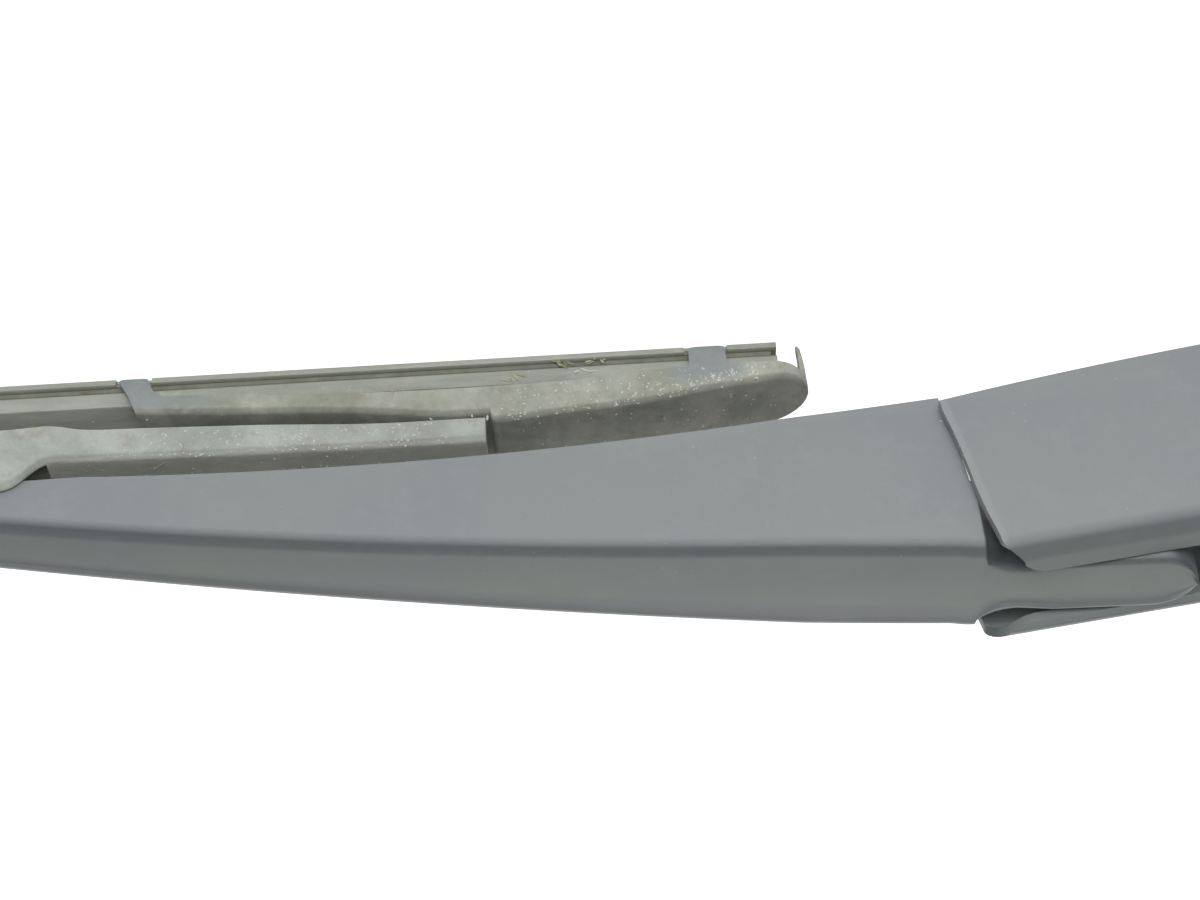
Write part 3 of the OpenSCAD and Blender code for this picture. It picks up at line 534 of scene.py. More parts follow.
def skin_shell(name, outer, inner, material, skip=None, width=0.35):
    """Closed shell between rings of outer and inner points. skip(i, j) leaves a panel open."""
    bm = bmesh.new()
    out = [[bm.verts.new(p) for p in ring] for ring in outer]
    inn = [[bm.verts.new(p) for p in ring] for ring in inner]
    rows, cols = len(out), len(out[0])
    kept = {(i, j) for i in range(rows - 1) for j in range(cols - 1) if not (skip and skip(i, j))}
    rims = []
    for i, j in kept:
        bm.faces.new((out[i][j], out[i][j + 1], out[i + 1][j + 1], out[i + 1][j]))
        bm.faces.new((inn[i][j], inn[i + 1][j], inn[i + 1][j + 1], inn[i][j + 1]))
        borders = (
            ((i - 1, j), (i, j), (i, j + 1)),
            ((i + 1, j), (i + 1, j), (i + 1, j + 1)),
            ((i, j - 1), (i, j), (i + 1, j)),
            ((i, j + 1), (i, j + 1), (i + 1, j + 1)),
        )
        for beyond, (ai, aj), (bi, bj) in borders:
            if beyond not in kept:
                bm.faces.new((out[ai][aj], out[bi][bj], inn[bi][bj], inn[ai][aj]))
                rims += [(out[ai][aj], out[bi][bj]), (inn[ai][aj], inn[bi][bj])]
    layer = bm.edges.layers.float.new("bevel_weight_edge")
    for a, b in rims:
        e = bm.edges.get((a, b))
        if e is not None:
            e[layer] = 1.0
    loose = [v for v in bm.verts if not v.link_faces]
    bmesh.ops.delete(bm, geom=loose, context="VERTS")
    obj = to_object(name, bm, material)
    if width:
        bevel(obj, width, weight=True)
        apply_modifiers(obj)
    return obj


def channel_ring(x, *section):
    return [(x, y, z) for y, z in channel_points(*section)]


# Arm
HINGE_X, HINGE_Z = 60.0, 33.0
LINK_PIN = (44.0, 12.0)
COVER_AXIS = (16.8, 30.784)
YOKE_PIN_Z = 3.4
YOKE_CENTRES = {"heel": 161.0, "toe": 399.0}
PIVOT_X, PIVOT_Z = 280.0, 6.0
GLASS_Z = -15.5
SEAM_X = 81.0
ARM_ROOT_X = 81.2
ARM_WALL = 1.6


def three_heights(a, b, c, t):
    return a * (1 - t) * (1 - 2 * t) + b * 4 * t * (1 - t) + c * t * (2 * t - 1)


ARM_ROOT_HW, ARM_MID_HW, ARM_TIP_HW = 11.3, 8.3, 6.6
ARM_FULL_X, ARM_SLIM_X = 105.0, 235.0
ARM_CORNER = 2.6
KNEE_X = 250.0
# Heights of the back and of the walls' lower edge at the seam, halfway and at the far end
ARM_BACK = (37.9, 29.9, 16.8)
ARM_EDGE = (7.9, 12.5, 10.8)
NOSE_DROP = 1.0
LEVEL_EDGE_X = PIVOT_X - 59
SHOULDER_EDGE, NECK_EDGE = 30.5, 26.8


def arm_hw(x):
    if x < ARM_FULL_X:
        return ARM_ROOT_HW
    if x < ARM_SLIM_X:
        t = (x - ARM_FULL_X) / (ARM_SLIM_X - ARM_FULL_X)
        return three_heights(ARM_ROOT_HW, ARM_MID_HW + 0.35, ARM_TIP_HW + 0.3, t)
    return ARM_TIP_HW + 0.3 * (1 - smooth_step((x - ARM_SLIM_X) / 12))


def arm_back(x):
    if x < KNEE_X:
        return three_heights(*ARM_BACK, (x - ARM_ROOT_X) / (KNEE_X - ARM_ROOT_X))
    return ARM_BACK[2] - NOSE_DROP * smooth_step((x - KNEE_X) / 30)


def arm_edge(x):
    if x < LEVEL_EDGE_X:
        return three_heights(*ARM_EDGE, (x - ARM_ROOT_X) / (LEVEL_EDGE_X - ARM_ROOT_X))
    return ARM_EDGE[2]


TONGUE_HW = 6.8
TONGUE_TAIL = 17.2
TONGUE_CORNER = 1.4
SHOULDER_X, SHOULDER_R = 70.8, 7.2
CROWN = 0.3
NOSE_X = PIVOT_X + 9


def tongue_back(x):
    return 38.3 + (ARM_ROOT_X - x) * 0.018


def shoulder_hw(x):
    d = max(SHOULDER_R ** 2 - (x - SHOULDER_X) ** 2, 0)
    return min(ARM_ROOT_HW, TONGUE_HW + SHOULDER_R - math.sqrt(d))


# Lower end of the arm's walls at the seam, as (place along the arm, height)
ARM_WALL_END = [(77.0, SHOULDER_EDGE), (77.6, 27.0), (78.3, 22.0), (79.2, 17.0), (80.3, 12.0),
                (80.6, ARM_EDGE[0])]


def arm_skin_rings(t):
    rings = []
    corner = max(ARM_CORNER - t, 0.8)
    for a in (88, 82, 76, 69, 61, 52, 43, 33, 22, 11):
        c, s = math.cos(math.radians(a)), math.sin(math.radians(a))
        x = NOSE_X + (ARM_TIP_HW - t) * s
        w = (ARM_TIP_HW - t) * c
        back = arm_back(x) - t - 1.6 * (1 - c)
        rings.append(channel_ring(x, w, back, ARM_EDGE[2], min(corner, w * 0.9), CROWN))
    n = 82
    for k in range(n + 1):
        x = NOSE_X - (NOSE_X - ARM_ROOT_X) * k / n
        rings.append(channel_ring(x, arm_hw(x) - t, arm_back(x) - t, arm_edge(x), corner, CROWN))
    for x in (80.6, 80.3, 79.8, 79.3, 78.8, 78.3, 77.9, 77.5, 77.1):
        edge = along_table(ARM_WALL_END, x)
        u = smooth_step((ARM_ROOT_X - x) / (ARM_ROOT_X - 77.6))
        back = arm_back(x) * (1 - u) + tongue_back(x) * u
        rings.append(channel_ring(x, ARM_ROOT_HW - t, back - t, edge, corner, CROWN))
    for x in (76.8, 76.1, 75.2, 74.0, 72.6, 70.8):
        hw, back = shoulder_hw(x) - t, tongue_back(x) - t
        rings.append(channel_ring(x, hw, back, SHOULDER_EDGE, corner, CROWN))
    neck = max(TONGUE_CORNER - t, 0.5)
    for x in (65.0, 62.0, 59.0, 56.0):
        rings.append(channel_ring(x, TONGUE_HW - t, tongue_back(x) - t, NECK_EDGE, neck, CROWN))
    for a in (0, 12, 24, 36, 48, 60, 70, 79, 87):
        c, s = math.cos(math.radians(a)), math.sin(math.radians(a))
        r = TONGUE_HW - t
        x = HINGE_X - TONGUE_TAIL + TONGUE_HW - r * s
        edge = 34.4 if a == 0 else 35.4
        rings.append(channel_ring(x, r * c, tongue_back(x) - t, edge, min(neck, r * c * 0.9), CROWN))
    return rings


def bore_cutter(x, z, r, y0, y1):
    return tube("cutter", (x, y0, z), (0, 1, 0), 0, r, y1 - y0, PIN_STEEL, 0.001)


ANCHOR = (150.0, 20.0)
ANCHOR_HW = arm_hw(ANCHOR[0])
arm = skin_shell("arm_skin", arm_skin_rings(0), arm_skin_rings(ARM_WALL), ARM_COAT, None, 0.4)
cut(arm, [
    bore_cutter(HINGE_X, HINGE_Z, 3.35, -9, 9),
    bore_cutter(*ANCHOR, 1.7, 2, 14),
])
boss_in, boss_out = 3.4, ANCHOR_HW - ARM_WALL / 2
join(arm, [tube("boss", (ANCHOR[0], y, ANCHOR[1]), (0, 1, 0), 1.7, 3.2, boss_out - boss_in, ARM_COAT)
           for y in (boss_in, -boss_out)])
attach(arm, "arm")
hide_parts("arm_shell")

# Head
HEAD_HW = 13.3
HEAD_WALL = 1.6
HEAD_CORNER = 3.8
SLOT_HW = 7.2
SLOT_END = 39.0
SLOT_CORNER = 4.0
# Seam between head and arm, as (height, place along the arm)
SEAM = [(2.0, 81.0), (10.0, 80.9), (17.0, 79.4), (22.1, 78.4), (27.0, 77.6), (30.5, 76.9), (33.8, 76.1),
        (36.2, 75.2)]
# The slot's mouth: where its flare ends and begins, and where the seam meets the corner
MOUTH_X, FLARE_X, CORNER_X = 71.4, 68.0, 75.2
HEAD_TOP, HEAD_RISE = 38.7, 0.13
HEAD_EDGE = (-3.5, 2.05, 10.0)
COVER_GAP = 0.35
LUG_INNER = 9.35
BUSH_R, BUSH_L = 9.5, 12.0


def head_back(x):
    return HEAD_TOP + (x - HINGE_X) * HEAD_RISE


def head_edge(x):
    return three_heights(*HEAD_EDGE, x / SEAM_X) if x > 0 else HEAD_EDGE[0]


def tail_angle(x):
    return math.asin(min(-x / HEAD_HW, 1.0)) if x < 0 else 0.0


def head_point(x, part, f, t):
    """Point of the head's skin on its near side: part is wall, arc or top and f the share along it."""
    a = tail_angle(x)
    x_in = -(HEAD_HW - t) * math.sin(a) if x < 0 else x
    hw = (HEAD_HW - t) * math.cos(a)
    back = head_back(x) - 4.0 * (1 - math.cos(a)) - t
    r = min(max(HEAD_CORNER - t, 0.8), hw * 0.92)
    edge = head_edge(x)
    if part == "wall":
        return (x_in, -hw, edge + (back - r - edge) * f)
    if part == "arc":
        return (x_in, -hw + r - r * math.cos(math.pi / 2 * f), back - r + r * math.sin(math.pi / 2 * f))
    reach = hw - r
    y = -min(f, 1.0) * reach
    return (x_in, y, back + 0.25 * (1 - f * f))


def head_start(part, f, wide):
    """Where a lengthwise line of the head's skin starts: on the seam, the slot's mouth or its end."""
    if part in ("wall", "arc"):
        x = SEAM_X - 3
        for _ in range(8):
            z = head_point(x, part, f, 0)[2]
            x = along_table(SEAM, z)
        if part == "arc":
            x = CORNER_X - (CORNER_X - MOUTH_X) * smooth_step(f) ** 1.15
        return x
    y = f * wide
    if y >= SLOT_HW:
        return FLARE_X + (MOUTH_X - FLARE_X) * ((y - SLOT_HW) / (wide - SLOT_HW)) ** 0.6
    if y > SLOT_HW - SLOT_CORNER:
        d = y - (SLOT_HW - SLOT_CORNER)
        return SLOT_END + SLOT_CORNER - math.sqrt(max(SLOT_CORNER ** 2 - d * d, 0))
    return SLOT_END


def head_grid(t):
    wide = HEAD_HW - HEAD_CORNER
    lines = [("wall", k / 12) for k in range(12)] + [("arc", k / 10) for k in range(11)]
    across = (9.0, 8.4, 7.8, 7.2, 7.185, 7.0, 6.6, 5.9, 5.0, 4.1, 3.2, 2.2, 1.1, 0.0)
    lines += [("top", y / wide) for y in across]
    common = [28, 25, 22, 19, 16, 13, 10, 7, 4.5, 2.2, 0.01]
    round_end = (8, 16, 24, 32, 40, 48, 55, 62, 69, 75, 80, 84, 87.5)
    common += [-HEAD_HW * math.sin(math.radians(a)) for a in round_end]
    rows = 16
    grid = []
    for part, f in lines:
        start = head_start(part, f, wide)
        xs = [start + (common[0] - start) * (k / rows) for k in range(rows)] + common
        column = []
        for x in xs:
            if part == "top" and x > 0:
                # The lines keep their distance from the middle inside the skin, so the slot stays upright
                x_in, _, z = head_point(x, part, f, t)
                column.append((x_in, -f * wide, z))
            else:
                column.append(head_point(x, part, f, t))
        grid.append(column)
    grid += [[(x, -y, z) for x, y, z in column] for column in reversed(grid[:-1])]
    return [list(ring) for ring in zip(*grid)]


def cover_outline(grow):
    rear_x, half, front = -3.0, 5.0, 18.0
    pts = []
    for k in range(0, 19):
        a = math.radians(90 + 180 * k / 18)
        side = 1 if k < 9 else (-1 if k > 9 else 0)
        pts.append((rear_x + (4 + grow) * math.cos(a), half * side + (4 + grow) * math.sin(a)))
    del pts[9]
    corner = [math.radians(a) for a in (-90, -60, -30, 0)]
    front_pts = [(front - 1 + (1 + grow) * math.cos(a), -8 + (1 + grow) * math.sin(a)) for a in corner]
    return pts + front_pts + [(x, -y) for x, y in reversed(front_pts)]


head = skin_shell("head_skin", head_grid(0), head_grid(HEAD_WALL), HEAD_COAT, None, 0.5)
opening = [(x, y) for x, y in cover_outline(COVER_GAP) if x < 16]
opening += [(19.4, -LUG_INNER), (19.4, LUG_INNER)]
bm = bmesh.new()
loft(bm, [[bm.verts.new((x, y, z)) for x, y in opening] for z in (24, 44)])
cut(head, [
    to_object("cutter", bm, HEAD_COAT, False),
    bore_cutter(HINGE_X, HINGE_Z, 2.5, 5, 16),
    bore_cutter(*LINK_PIN, 1.8, 5, 16),
])
side = HEAD_HW - HEAD_WALL / 2
head_parts = []
for sign in (-1, 1):
    axis = (0, sign, 0)
    for part, (x, z), inner_y, outer_y, bore, radius, edge in (
        ("boss", (HINGE_X, HINGE_Z), SLOT_HW, HEAD_HW - HEAD_WALL + 0.1, 2.5, 4.8, 0.3),
        ("boss", LINK_PIN, 3, side, 1.8, 3.8, 0.3),
        ("lug", COVER_AXIS, LUG_INNER, side, 0.8, 1.9, 0.15),
    ):
        start = (x, sign * inner_y, z)
        head_parts.append(tube(part, start, axis, bore, radius, outer_y - inner_y, HEAD_COAT, edge))
head_parts.append(tube("web", (0, 0, 1), (0, 0, 1), BUSH_R + 0.05, side, BUSH_L - 2, HEAD_COAT, 0.4, 96))
join(head, head_parts)
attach(head, "head")
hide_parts("head_shell")

# Primary bow
BOW_HW, HUB_HW, BOW_WALL = 6.2, 8.6, 1.4
BOW_END = 125.6
BOW_BACK = [(-BOW_END, 7.0), (-108, 7.0), (-85.4, 6.8), (-62, 6.4), (-57, 6.8), (-53.6, 7.9), (-51.6, 9.5),
            (-49.6, 11.6), (-48, 12.7), (-45, 13.2), (0, 13.2)]
BOW_EDGE = [(-BOW_END, 2.5), (-111.8, 2.5), (-85.4, 1.2), (-57, 0.4), (-50, 1.1), (-45, 1.3),
            (-30, 0.6), (0, -0.1)]
BOW_HALF = [(-BOW_END, BOW_HW), (-62, BOW_HW), (-58, 6.6), (-55, 7.8), (-52.5, 8.5), (-50, HUB_HW),
            (0, HUB_HW)]
WINDOW = 53.5
TROUGH_LOW, TROUGH_TOP, TROUGH_RIM = 5.0, 6.44, 6.52
BOW_WALL_N, BOW_ARC_N, BOW_TOP_N = 5, 6, 4


def mirrored_value(table, d):
    return along_table(table, -abs(d))


def bow_stations():
    left = [-BOW_END, -BOW_END + 1.0]
    left += [-BOW_END + 1.0 + (BOW_END - 1.0 - 68) * k / 20 for k in range(1, 21)]
    left += [-66, -64, -62, -60, -58.5, -57, -55.5, -54.4, -WINDOW, -52.6, -51.6, -50.6, -49.6, -48.6]
    left += [-47.5, -46, -44, -40, -35, -30, -24, -18, -12, -6]
    return left + [0] + [-d for d in reversed(left)]


def bow_rings(t):
    rings = []
    for d in bow_stations():
        hw, back, edge = (mirrored_value(table, d) for table in (BOW_HALF, BOW_BACK, BOW_EDGE))
        r = 1.3 if t == 0 else 0.6
        steps = (BOW_WALL_N, BOW_ARC_N, BOW_TOP_N)
        rings.append(channel_ring(PIVOT_X + d, hw - t, back - t, edge, r, 0.0, *steps))
    return rings


def bow_skip(i, j):
    d = bow_stations()
    mid = (d[i] + d[i + 1]) / 2
    return abs(mid) < WINDOW and 0 <= j - BOW_WALL_N - BOW_ARC_N < 2 * BOW_TOP_N


bow = skin_shell("bow_skin", bow_rings(0), bow_rings(BOW_WALL), BOW_COAT, bow_skip, 0.35)
cut(bow, [bore_cutter(PIVOT_X, PIVOT_Z, 2.5, -12, 12),
          *[bore_cutter(x, YOKE_PIN_Z, 1.1, 2, 12) for x in YOKE_CENTRES.values()]])
# Back of the bow between the ears, up to the window
for sign in (-1, 1):
    bm = bmesh.new()
    rows = []
    for d in (44, 46, 48, 50, 51.5, 53, 54, 55.5):
        half = mirrored_value(BOW_HALF, d) - BOW_WALL / 2
        section = ((-half, TROUGH_LOW), (half, TROUGH_LOW), (half, TROUGH_RIM), (half - 0.9, TROUGH_TOP),
                   (-half + 0.9, TROUGH_TOP), (-half, TROUGH_RIM))
        rows.append([bm.verts.new((PIVOT_X + sign * d, y, z)) for y, z in section])
    loft(bm, rows)
    trough = to_object("trough", bm, BOW_COAT)
    trough.data.set_sharp_from_angle(angle=math.radians(40))
    join(bow, [trough])
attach(bow, "blade")
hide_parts("primary_bow")

# Yokes
YOKE_HW, YOKE_WALL, YOKE_END, YOKE_INNER_END = 6.5, 1.3, -61.0, 53.2
NOTCH_AHEAD, NOTCH_R = 5.5, 8.5
YOKE_BACK = [(-61, -3.6), (-60, -3.3), (-58.4, -3.0), (-53, -2.1), (-42.7, -0.6), (-33, 1.2), (-19, 2.3),
             (-9, 3.3), (-7.7, 3.3), (-7.35, 1.6), (0, 1.6), (10.6, 0.2), (25, -1.0), (41.3, -1.9), (54, -2.9)]
YOKE_EDGE = [(-61, -5.0), (-59.5, -5.5), (-57, -5.75), (-42.7, -5.7), (-33, -5.2), (-19, -4.0), (0, -3.7),
             (24, -4.2), (36, -5.3), (49, -5.7), (54, -5.7)]


def yoke_stations():
    r = YOKE_HW
    xs = [YOKE_END + r - r * math.sin(math.radians(a)) for a in (88, 83, 77, 70, 62, 54, 45, 36, 27, 18, 9, 0)]
    xs += [-53 + 1.6 * k for k in range(28)]
    xs += [-8.4, -7.9, -7.6, -7.4, -7.2, -6.2, *range(-4, 45, 4), 47, 49, 50.5, 51.6, 52.6, YOKE_INNER_END]
    return xs


def yoke_rings(t, centre, flip):
    rings = []
    for d in yoke_stations():
        back = along_table(YOKE_BACK, d)
        edge = min(along_table(YOKE_EDGE, d), back - 0.6)
        from_end = YOKE_END + YOKE_HW - d
        hw = YOKE_HW - t
        x = d
        if from_end > 0:
            a = math.asin(min(from_end / YOKE_HW, 1.0))
            hw = (YOKE_HW - t) * math.cos(a)
            x = YOKE_END + YOKE_HW - (YOKE_HW - t) * math.sin(a)
        r = 1.15 if t == 0 else 0.5
        r = min(r, (back - edge) * 0.45, hw * 0.9)
        pts = channel_points(hw, max(back - t, edge + 0.3), edge, r, 0.12, 6, 6, 5)
        lean = 0.45 * smooth_step((d - 50) / 3)
        rings.append([(centre + flip * (x - lean * (z + 5.7)), y, z) for y, z in pts])
    return rings


CLAW_PATH = [(6.3, -3.9), (6.45, -4.8), (6.52, -5.5), (6.44, -6.2), (6.28, -7.0), (6.02, -8.0), (5.72, -9.0),
             (5.4, -10.0), (5.16, -10.6), (5.0, -10.9), (4.8, -11.1), (4.5, -11.18), (4.1, -11.2), (3.3, -11.2)]


def make_claw(centre, flip, left, right):
    """Tab bent in under the rubber's lower rail. left and right give its edges along the yoke by height."""
    parts = []
    across_n, last = 8, len(CLAW_PATH) - 1
    for sign in (-1, 1):
        outer, inner = [], []
        for k, (y, z) in enumerate(CLAW_PATH):
            along = Vector(CLAW_PATH[min(k + 1, last)]) - Vector(CLAW_PATH[max(k - 1, 0)])
            along.normalize()
            inward = Vector((along.y, -along.x)) * (0.62 if k > 6 else 0.9)
            x0, x1 = along_table(left, -z), along_table(right, -z)
            outer.append([])
            inner.append([])
            for j in range(across_n + 1):
                f = j / across_n
                # Edges rounded over, as a pressed tab's are
                rim = 0.16 * max(0.0, abs(2 * f - 1) - 0.75) / 0.25
                x = centre + flip * (x0 + (x1 - x0) * f)
                outer[k].append((x, sign * (y + inward.x * rim), z + inward.y * rim))
                inner[k].append((x, sign * (y + inward.x), z + inward.y))
        o = skin_shell("claw", outer, inner, YOKE_COAT, None, 0.0)
        o.data.set_sharp_from_angle(angle=math.radians(50))
        parts.append(o)
    return parts


# Claw edges as (depth below the seat, place along the yoke)
OUTER_LEFT = [(3.9, -40.2), (5.2, -40.2), (5.7, -40.35), (6.1, -40.75), (6.6, -41.0), (9.8, -41.05),
              (10.7, -41.1), (11.0, -41.35), (11.2, -41.7)]
OUTER_RIGHT = [(3.9, -48.6), (5.2, -48.6), (5.7, -48.2), (6.1, -47.75), (6.7, -47.4), (9.8, -47.15),
               (10.7, -47.1), (11.0, -46.9), (11.2, -46.5)]
INNER_LEFT = [(3.9, 46.4), (5.3, 46.4), (5.7, 47.3), (6.2, 48.3), (7.0, 49.0), (9.9, 50.3), (10.8, 50.6),
              (11.2, 50.8)]
INNER_RIGHT = [(3.9, 52.2), (5.7, 53.1), (8.0, 54.2), (10.6, 55.35), (11.0, 55.35), (11.2, 55.1)]


def make_yoke(name, node, body, centre, flip):
    rings = [yoke_rings(t, centre, flip) for t in (0, YOKE_WALL)]
    yoke = skin_shell(name, *rings, YOKE_COAT, None, 0.0)
    notch_x = centre + flip * (YOKE_INNER_END + NOTCH_AHEAD)
    cut(yoke, [tube("cutter", (notch_x, 0, -20), (0, 0, 1), 0, NOTCH_R, 40, YOKE_COAT, 0.001, 64)])
    bevel(yoke, 0.2, 2, 50)
    apply_modifiers(yoke)
    parts = make_claw(centre, flip, OUTER_LEFT, OUTER_RIGHT) + make_claw(centre, flip, INNER_LEFT, INNER_RIGHT)
    for k, o in enumerate(parts):
        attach(o, body)
        o.name = f"{node}_claw_{k}"
    joined = [tube("ear", (centre, y - 0.8, YOKE_PIN_Z), (0, 1, 0), 1.15, 2.0, 1.6, YOKE_COAT, 0.15, 32)
              for y in (-3.6, 3.6)]
    # Stop at the yoke's end, turned down past the end of the rubber and worn to a point
    bm = bmesh.new()
    fin = [(-60.75, -4.3, 1.9), (-60.8, -5.6, 1.7), (-60.8, -7.0, 1.5), (-60.72, -9.0, 1.3),
           (-60.55, -11.0, 1.1), (-60.35, -12.6, 0.85), (-60.15, -13.35, 0.5), (-60.0, -13.7, 0.2)]
    rows = []
    for x, z, half in fin:
        thick = 0.9 if z > -11 else 0.7 * (half / 1.1) ** 0.5
        near = [(x, -half * 0.8), (x + 0.15, -half), (x + thick, -half)]
        section = near + [(xx, -yy) for xx, yy in reversed(near)]
        rows.append([bm.verts.new((centre + flip * xx, yy, z)) for xx, yy in section])
    loft(bm, rows)
    joined.append(to_object("fin", bm, YOKE_COAT))
    joined[-1].data.set_sharp_from_angle(angle=math.radians(50))
    join(yoke, joined)
    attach(yoke, body)
    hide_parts(node)


make_yoke("yoke_heel_skin", "yoke_heel", "heel_yoke", YOKE_CENTRES["heel"], 1)
make_yoke("yoke_toe_skin", "yoke_toe", "toe_yoke", YOKE_CENTRES["toe"], -1)

# Rubber and flexors
BASE_Z, BASE_TOP = -11.2, -5.4
RAIL_TOP, GROOVE_TOP, FLEX_Z = -10.0, -8.45, -9.4
RAIL_HW, BASE_HW = 4.9, 4.6
# Claws as (place along the blade, half their length)
CLAWS = ((117.0, 3.6), (214.0, 3.0), (443.0, 3.6), (346.0, 3.0))
LIP_DEPTH, LIP_LEAN = 4.3, 1.25


def below_base(z):
    return min(max((BASE_Z - z) / LIP_DEPTH, 0.0), 1.0)


def rubber_section(x):
    """Right half of the rubber's section at x, notched where a claw holds it."""
    at_claw = any(abs(x - c) < hl for c, hl in CLAWS)
    rail, low = (4.3, BASE_Z + 0.72) if at_claw else (RAIL_HW, BASE_Z)
    half = [
        (0, BASE_TOP), (BASE_HW - 0.3, BASE_TOP), (BASE_HW - 0.08, BASE_TOP - 0.1), (BASE_HW, BASE_TOP - 0.35),
        (BASE_HW, GROOVE_TOP + 0.35), (BASE_HW - 0.1, GROOVE_TOP + 0.1), (BASE_HW - 0.35, GROOVE_TOP - 0.02),
        (BASE_HW - 0.55, FLEX_Z + 0.54), (1.82, FLEX_Z + 0.53), (1.82, FLEX_Z - 0.53),
        (BASE_HW - 0.55, FLEX_Z - 0.54), (rail - 0.4, RAIL_TOP + 0.05), (rail - 0.1, RAIL_TOP - 0.05),
        (rail, RAIL_TOP - 0.3), (rail, low + 0.3), (rail - 0.1, low + 0.08), (rail - 0.35, low), (3.0, low),
    ]
    # Neck, wings and lip, as (half width, depth below the base)
    half += [(y, BASE_Z - deep) for y, deep in (
        (0.8, -0.05), (0.68, 0.2), (0.68, 0.65), (0.95, 0.78), (2.3, 0.8), (2.6, 0.95), (2.6, 1.25),
        (2.3, 1.4), (1.1, 2.0), (0.7, 2.8), (0.45, 3.8))]
    half.append((0.3, GLASS_Z))
    ring = half + [(-y, z) for y, z in reversed(half[1:])]
    return [(y + LIP_LEAN * below_base(z) ** 1.3, z) for y, z in ring]


def strip_half(name, section, stations, material, wobble, seed):
    """Bar whose YZ section at each station x is section(x), a little wavy towards the lip."""
    rnd = random.Random(seed)
    phase = [rnd.uniform(0, 6.28) for _ in range(4)]
    bm = bmesh.new()
    rows = []
    for x in stations:
        waves = zip((0.11, 0.37, 0.9), phase, (0.5, 0.3, 0.2))
        w = wobble * sum(math.sin(x * rate + start) * share for rate, start, share in waves)
        rows.append([bm.verts.new((x, y + w * below_base(z), z)) for y, z in section(x)])
    loft(bm, rows)
    obj = to_object(name, bm, material)
    obj.data.set_sharp_from_angle(angle=math.radians(32))
    return obj


def strip_stations(x0, x1, steps, with_claws):
    lo, hi = min(x0, x1), max(x0, x1)
    xs = [lo + (hi - lo) * k / steps for k in range(steps + 1)]
    if with_claws:
        for c, hl in CLAWS:
            if lo < c < hi:
                xs = [x for x in xs if abs(abs(x - c) - hl) > 0.3]
                xs += [c - hl - 0.06, c - hl + 0.06, c + hl - 0.06, c + hl + 0.06]
    return sorted(xs)


def flexor_section(sign):
    pts = [(1.9, -0.45), (4.0, -0.45), (4.1, -0.35), (4.1, 0.35), (4.0, 0.45), (1.9, 0.45)]
    return lambda x: [(sign * y, FLEX_Z + z) for y, z in pts]


# Halves of the blade: body, end, middle, and where the bend between yoke and bow starts and ends
HALVES = (
    ("heel", "heel_yoke", 105.0, 280.0, 213.0, 278.0),
    ("toe", "toe_yoke", 455.0, 280.0, 347.0, 282.0),
)
for tag, body, end_x, mid_x, hold_x, free_x in HALVES:
    inward = 1 if mid_x > end_x else -1
    rubber = strip_half("rubber_" + tag, rubber_section, strip_stations(end_x, mid_x, 90, True), RUBBER, 0.2, 5)
    pieces = [(rubber, "wiper_rubber", "blade_rubber")]
    for side_name, sign in (("near", -1), ("far", 1)):
        strip = strip_half(f"flexor_{side_name}_{tag}", flexor_section(sign),
                           strip_stations(end_x + inward, mid_x, 60, False), FLEXOR_STEEL, 0, 1)
        pieces.append((strip, "flexor_" + side_name, "flexor_steel"))
    for obj, node, slot in pieces:
        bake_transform(obj)
        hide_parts(node)

# Spring
LINE = (ANCHOR[0] - LINK_PIN[0], ANCHOR[1] - LINK_PIN[1])
LINE_A, LINE_L = math.atan2(LINE[1], LINE[0]), math.hypot(*LINE)
LINK_L = 52.0


def degrees(first, end, step):
    return [math.radians(a) for a in range(first, end, step)]


def wire_points():
    span = LINE_L - LINK_L
    hook, coil_r, turns = 6.5, 3.5, 14.75
    coil = span - 2 * hook
    link_r, anchor_r = 2.2, 2.55
    pts = [(2.25 + link_r * math.cos(a), link_r * math.sin(a), 0) for a in degrees(60, 301, 15)]
    pts.append((hook - 1.4, -coil_r + 0.5, 0))
    n = int(turns * 20)
    for k in range(n + 1):
        a = 2 * math.pi * turns * k / n
        pts.append((hook + coil * k / n, -coil_r * math.cos(a), coil_r * math.sin(a)))
    pts.append((hook + coil + 1.6, 0, -coil_r + 0.3))
    pts += [(span + anchor_r * math.cos(a), 0, anchor_r * math.sin(a)) for a in degrees(-110, 161, 15)]
    pts = [(x + LINK_L, y, z) for x, y, z in pts]
    c, s = math.cos(LINE_A), math.sin(LINE_A)
    return [Vector((LINK_PIN[0] + x * c - z * s, y, LINK_PIN[1] + x * s + z * c)) for x, y, z in pts]


def wire(name, pts, radius, sides, material):
    bm = bmesh.new()
    rows = []
    n = len(pts)
    up = Vector((0, 0, 1))
    for i, p in enumerate(pts):
        t = (pts[min(i + 1, n - 1)] - pts[max(i - 1, 0)]).normalized()
        side_v = t.cross(up)
        side_v = side_v.normalized() if side_v.length > 1e-4 else t.orthogonal().normalized()
        up = side_v.cross(t).normalized()
        turns = [2 * math.pi * k / sides for k in range(sides)]
        rows.append([bm.verts.new(p + (side_v * math.cos(a) + up * math.sin(a)) * radius) for a in turns])
    loft(bm, rows)
    return to_object(name, bm, material)


spring = wire("spring_wire", wire_points(), 0.7, 12, SPRING_STEEL)
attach(spring, "arm")
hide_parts("tension_spring")

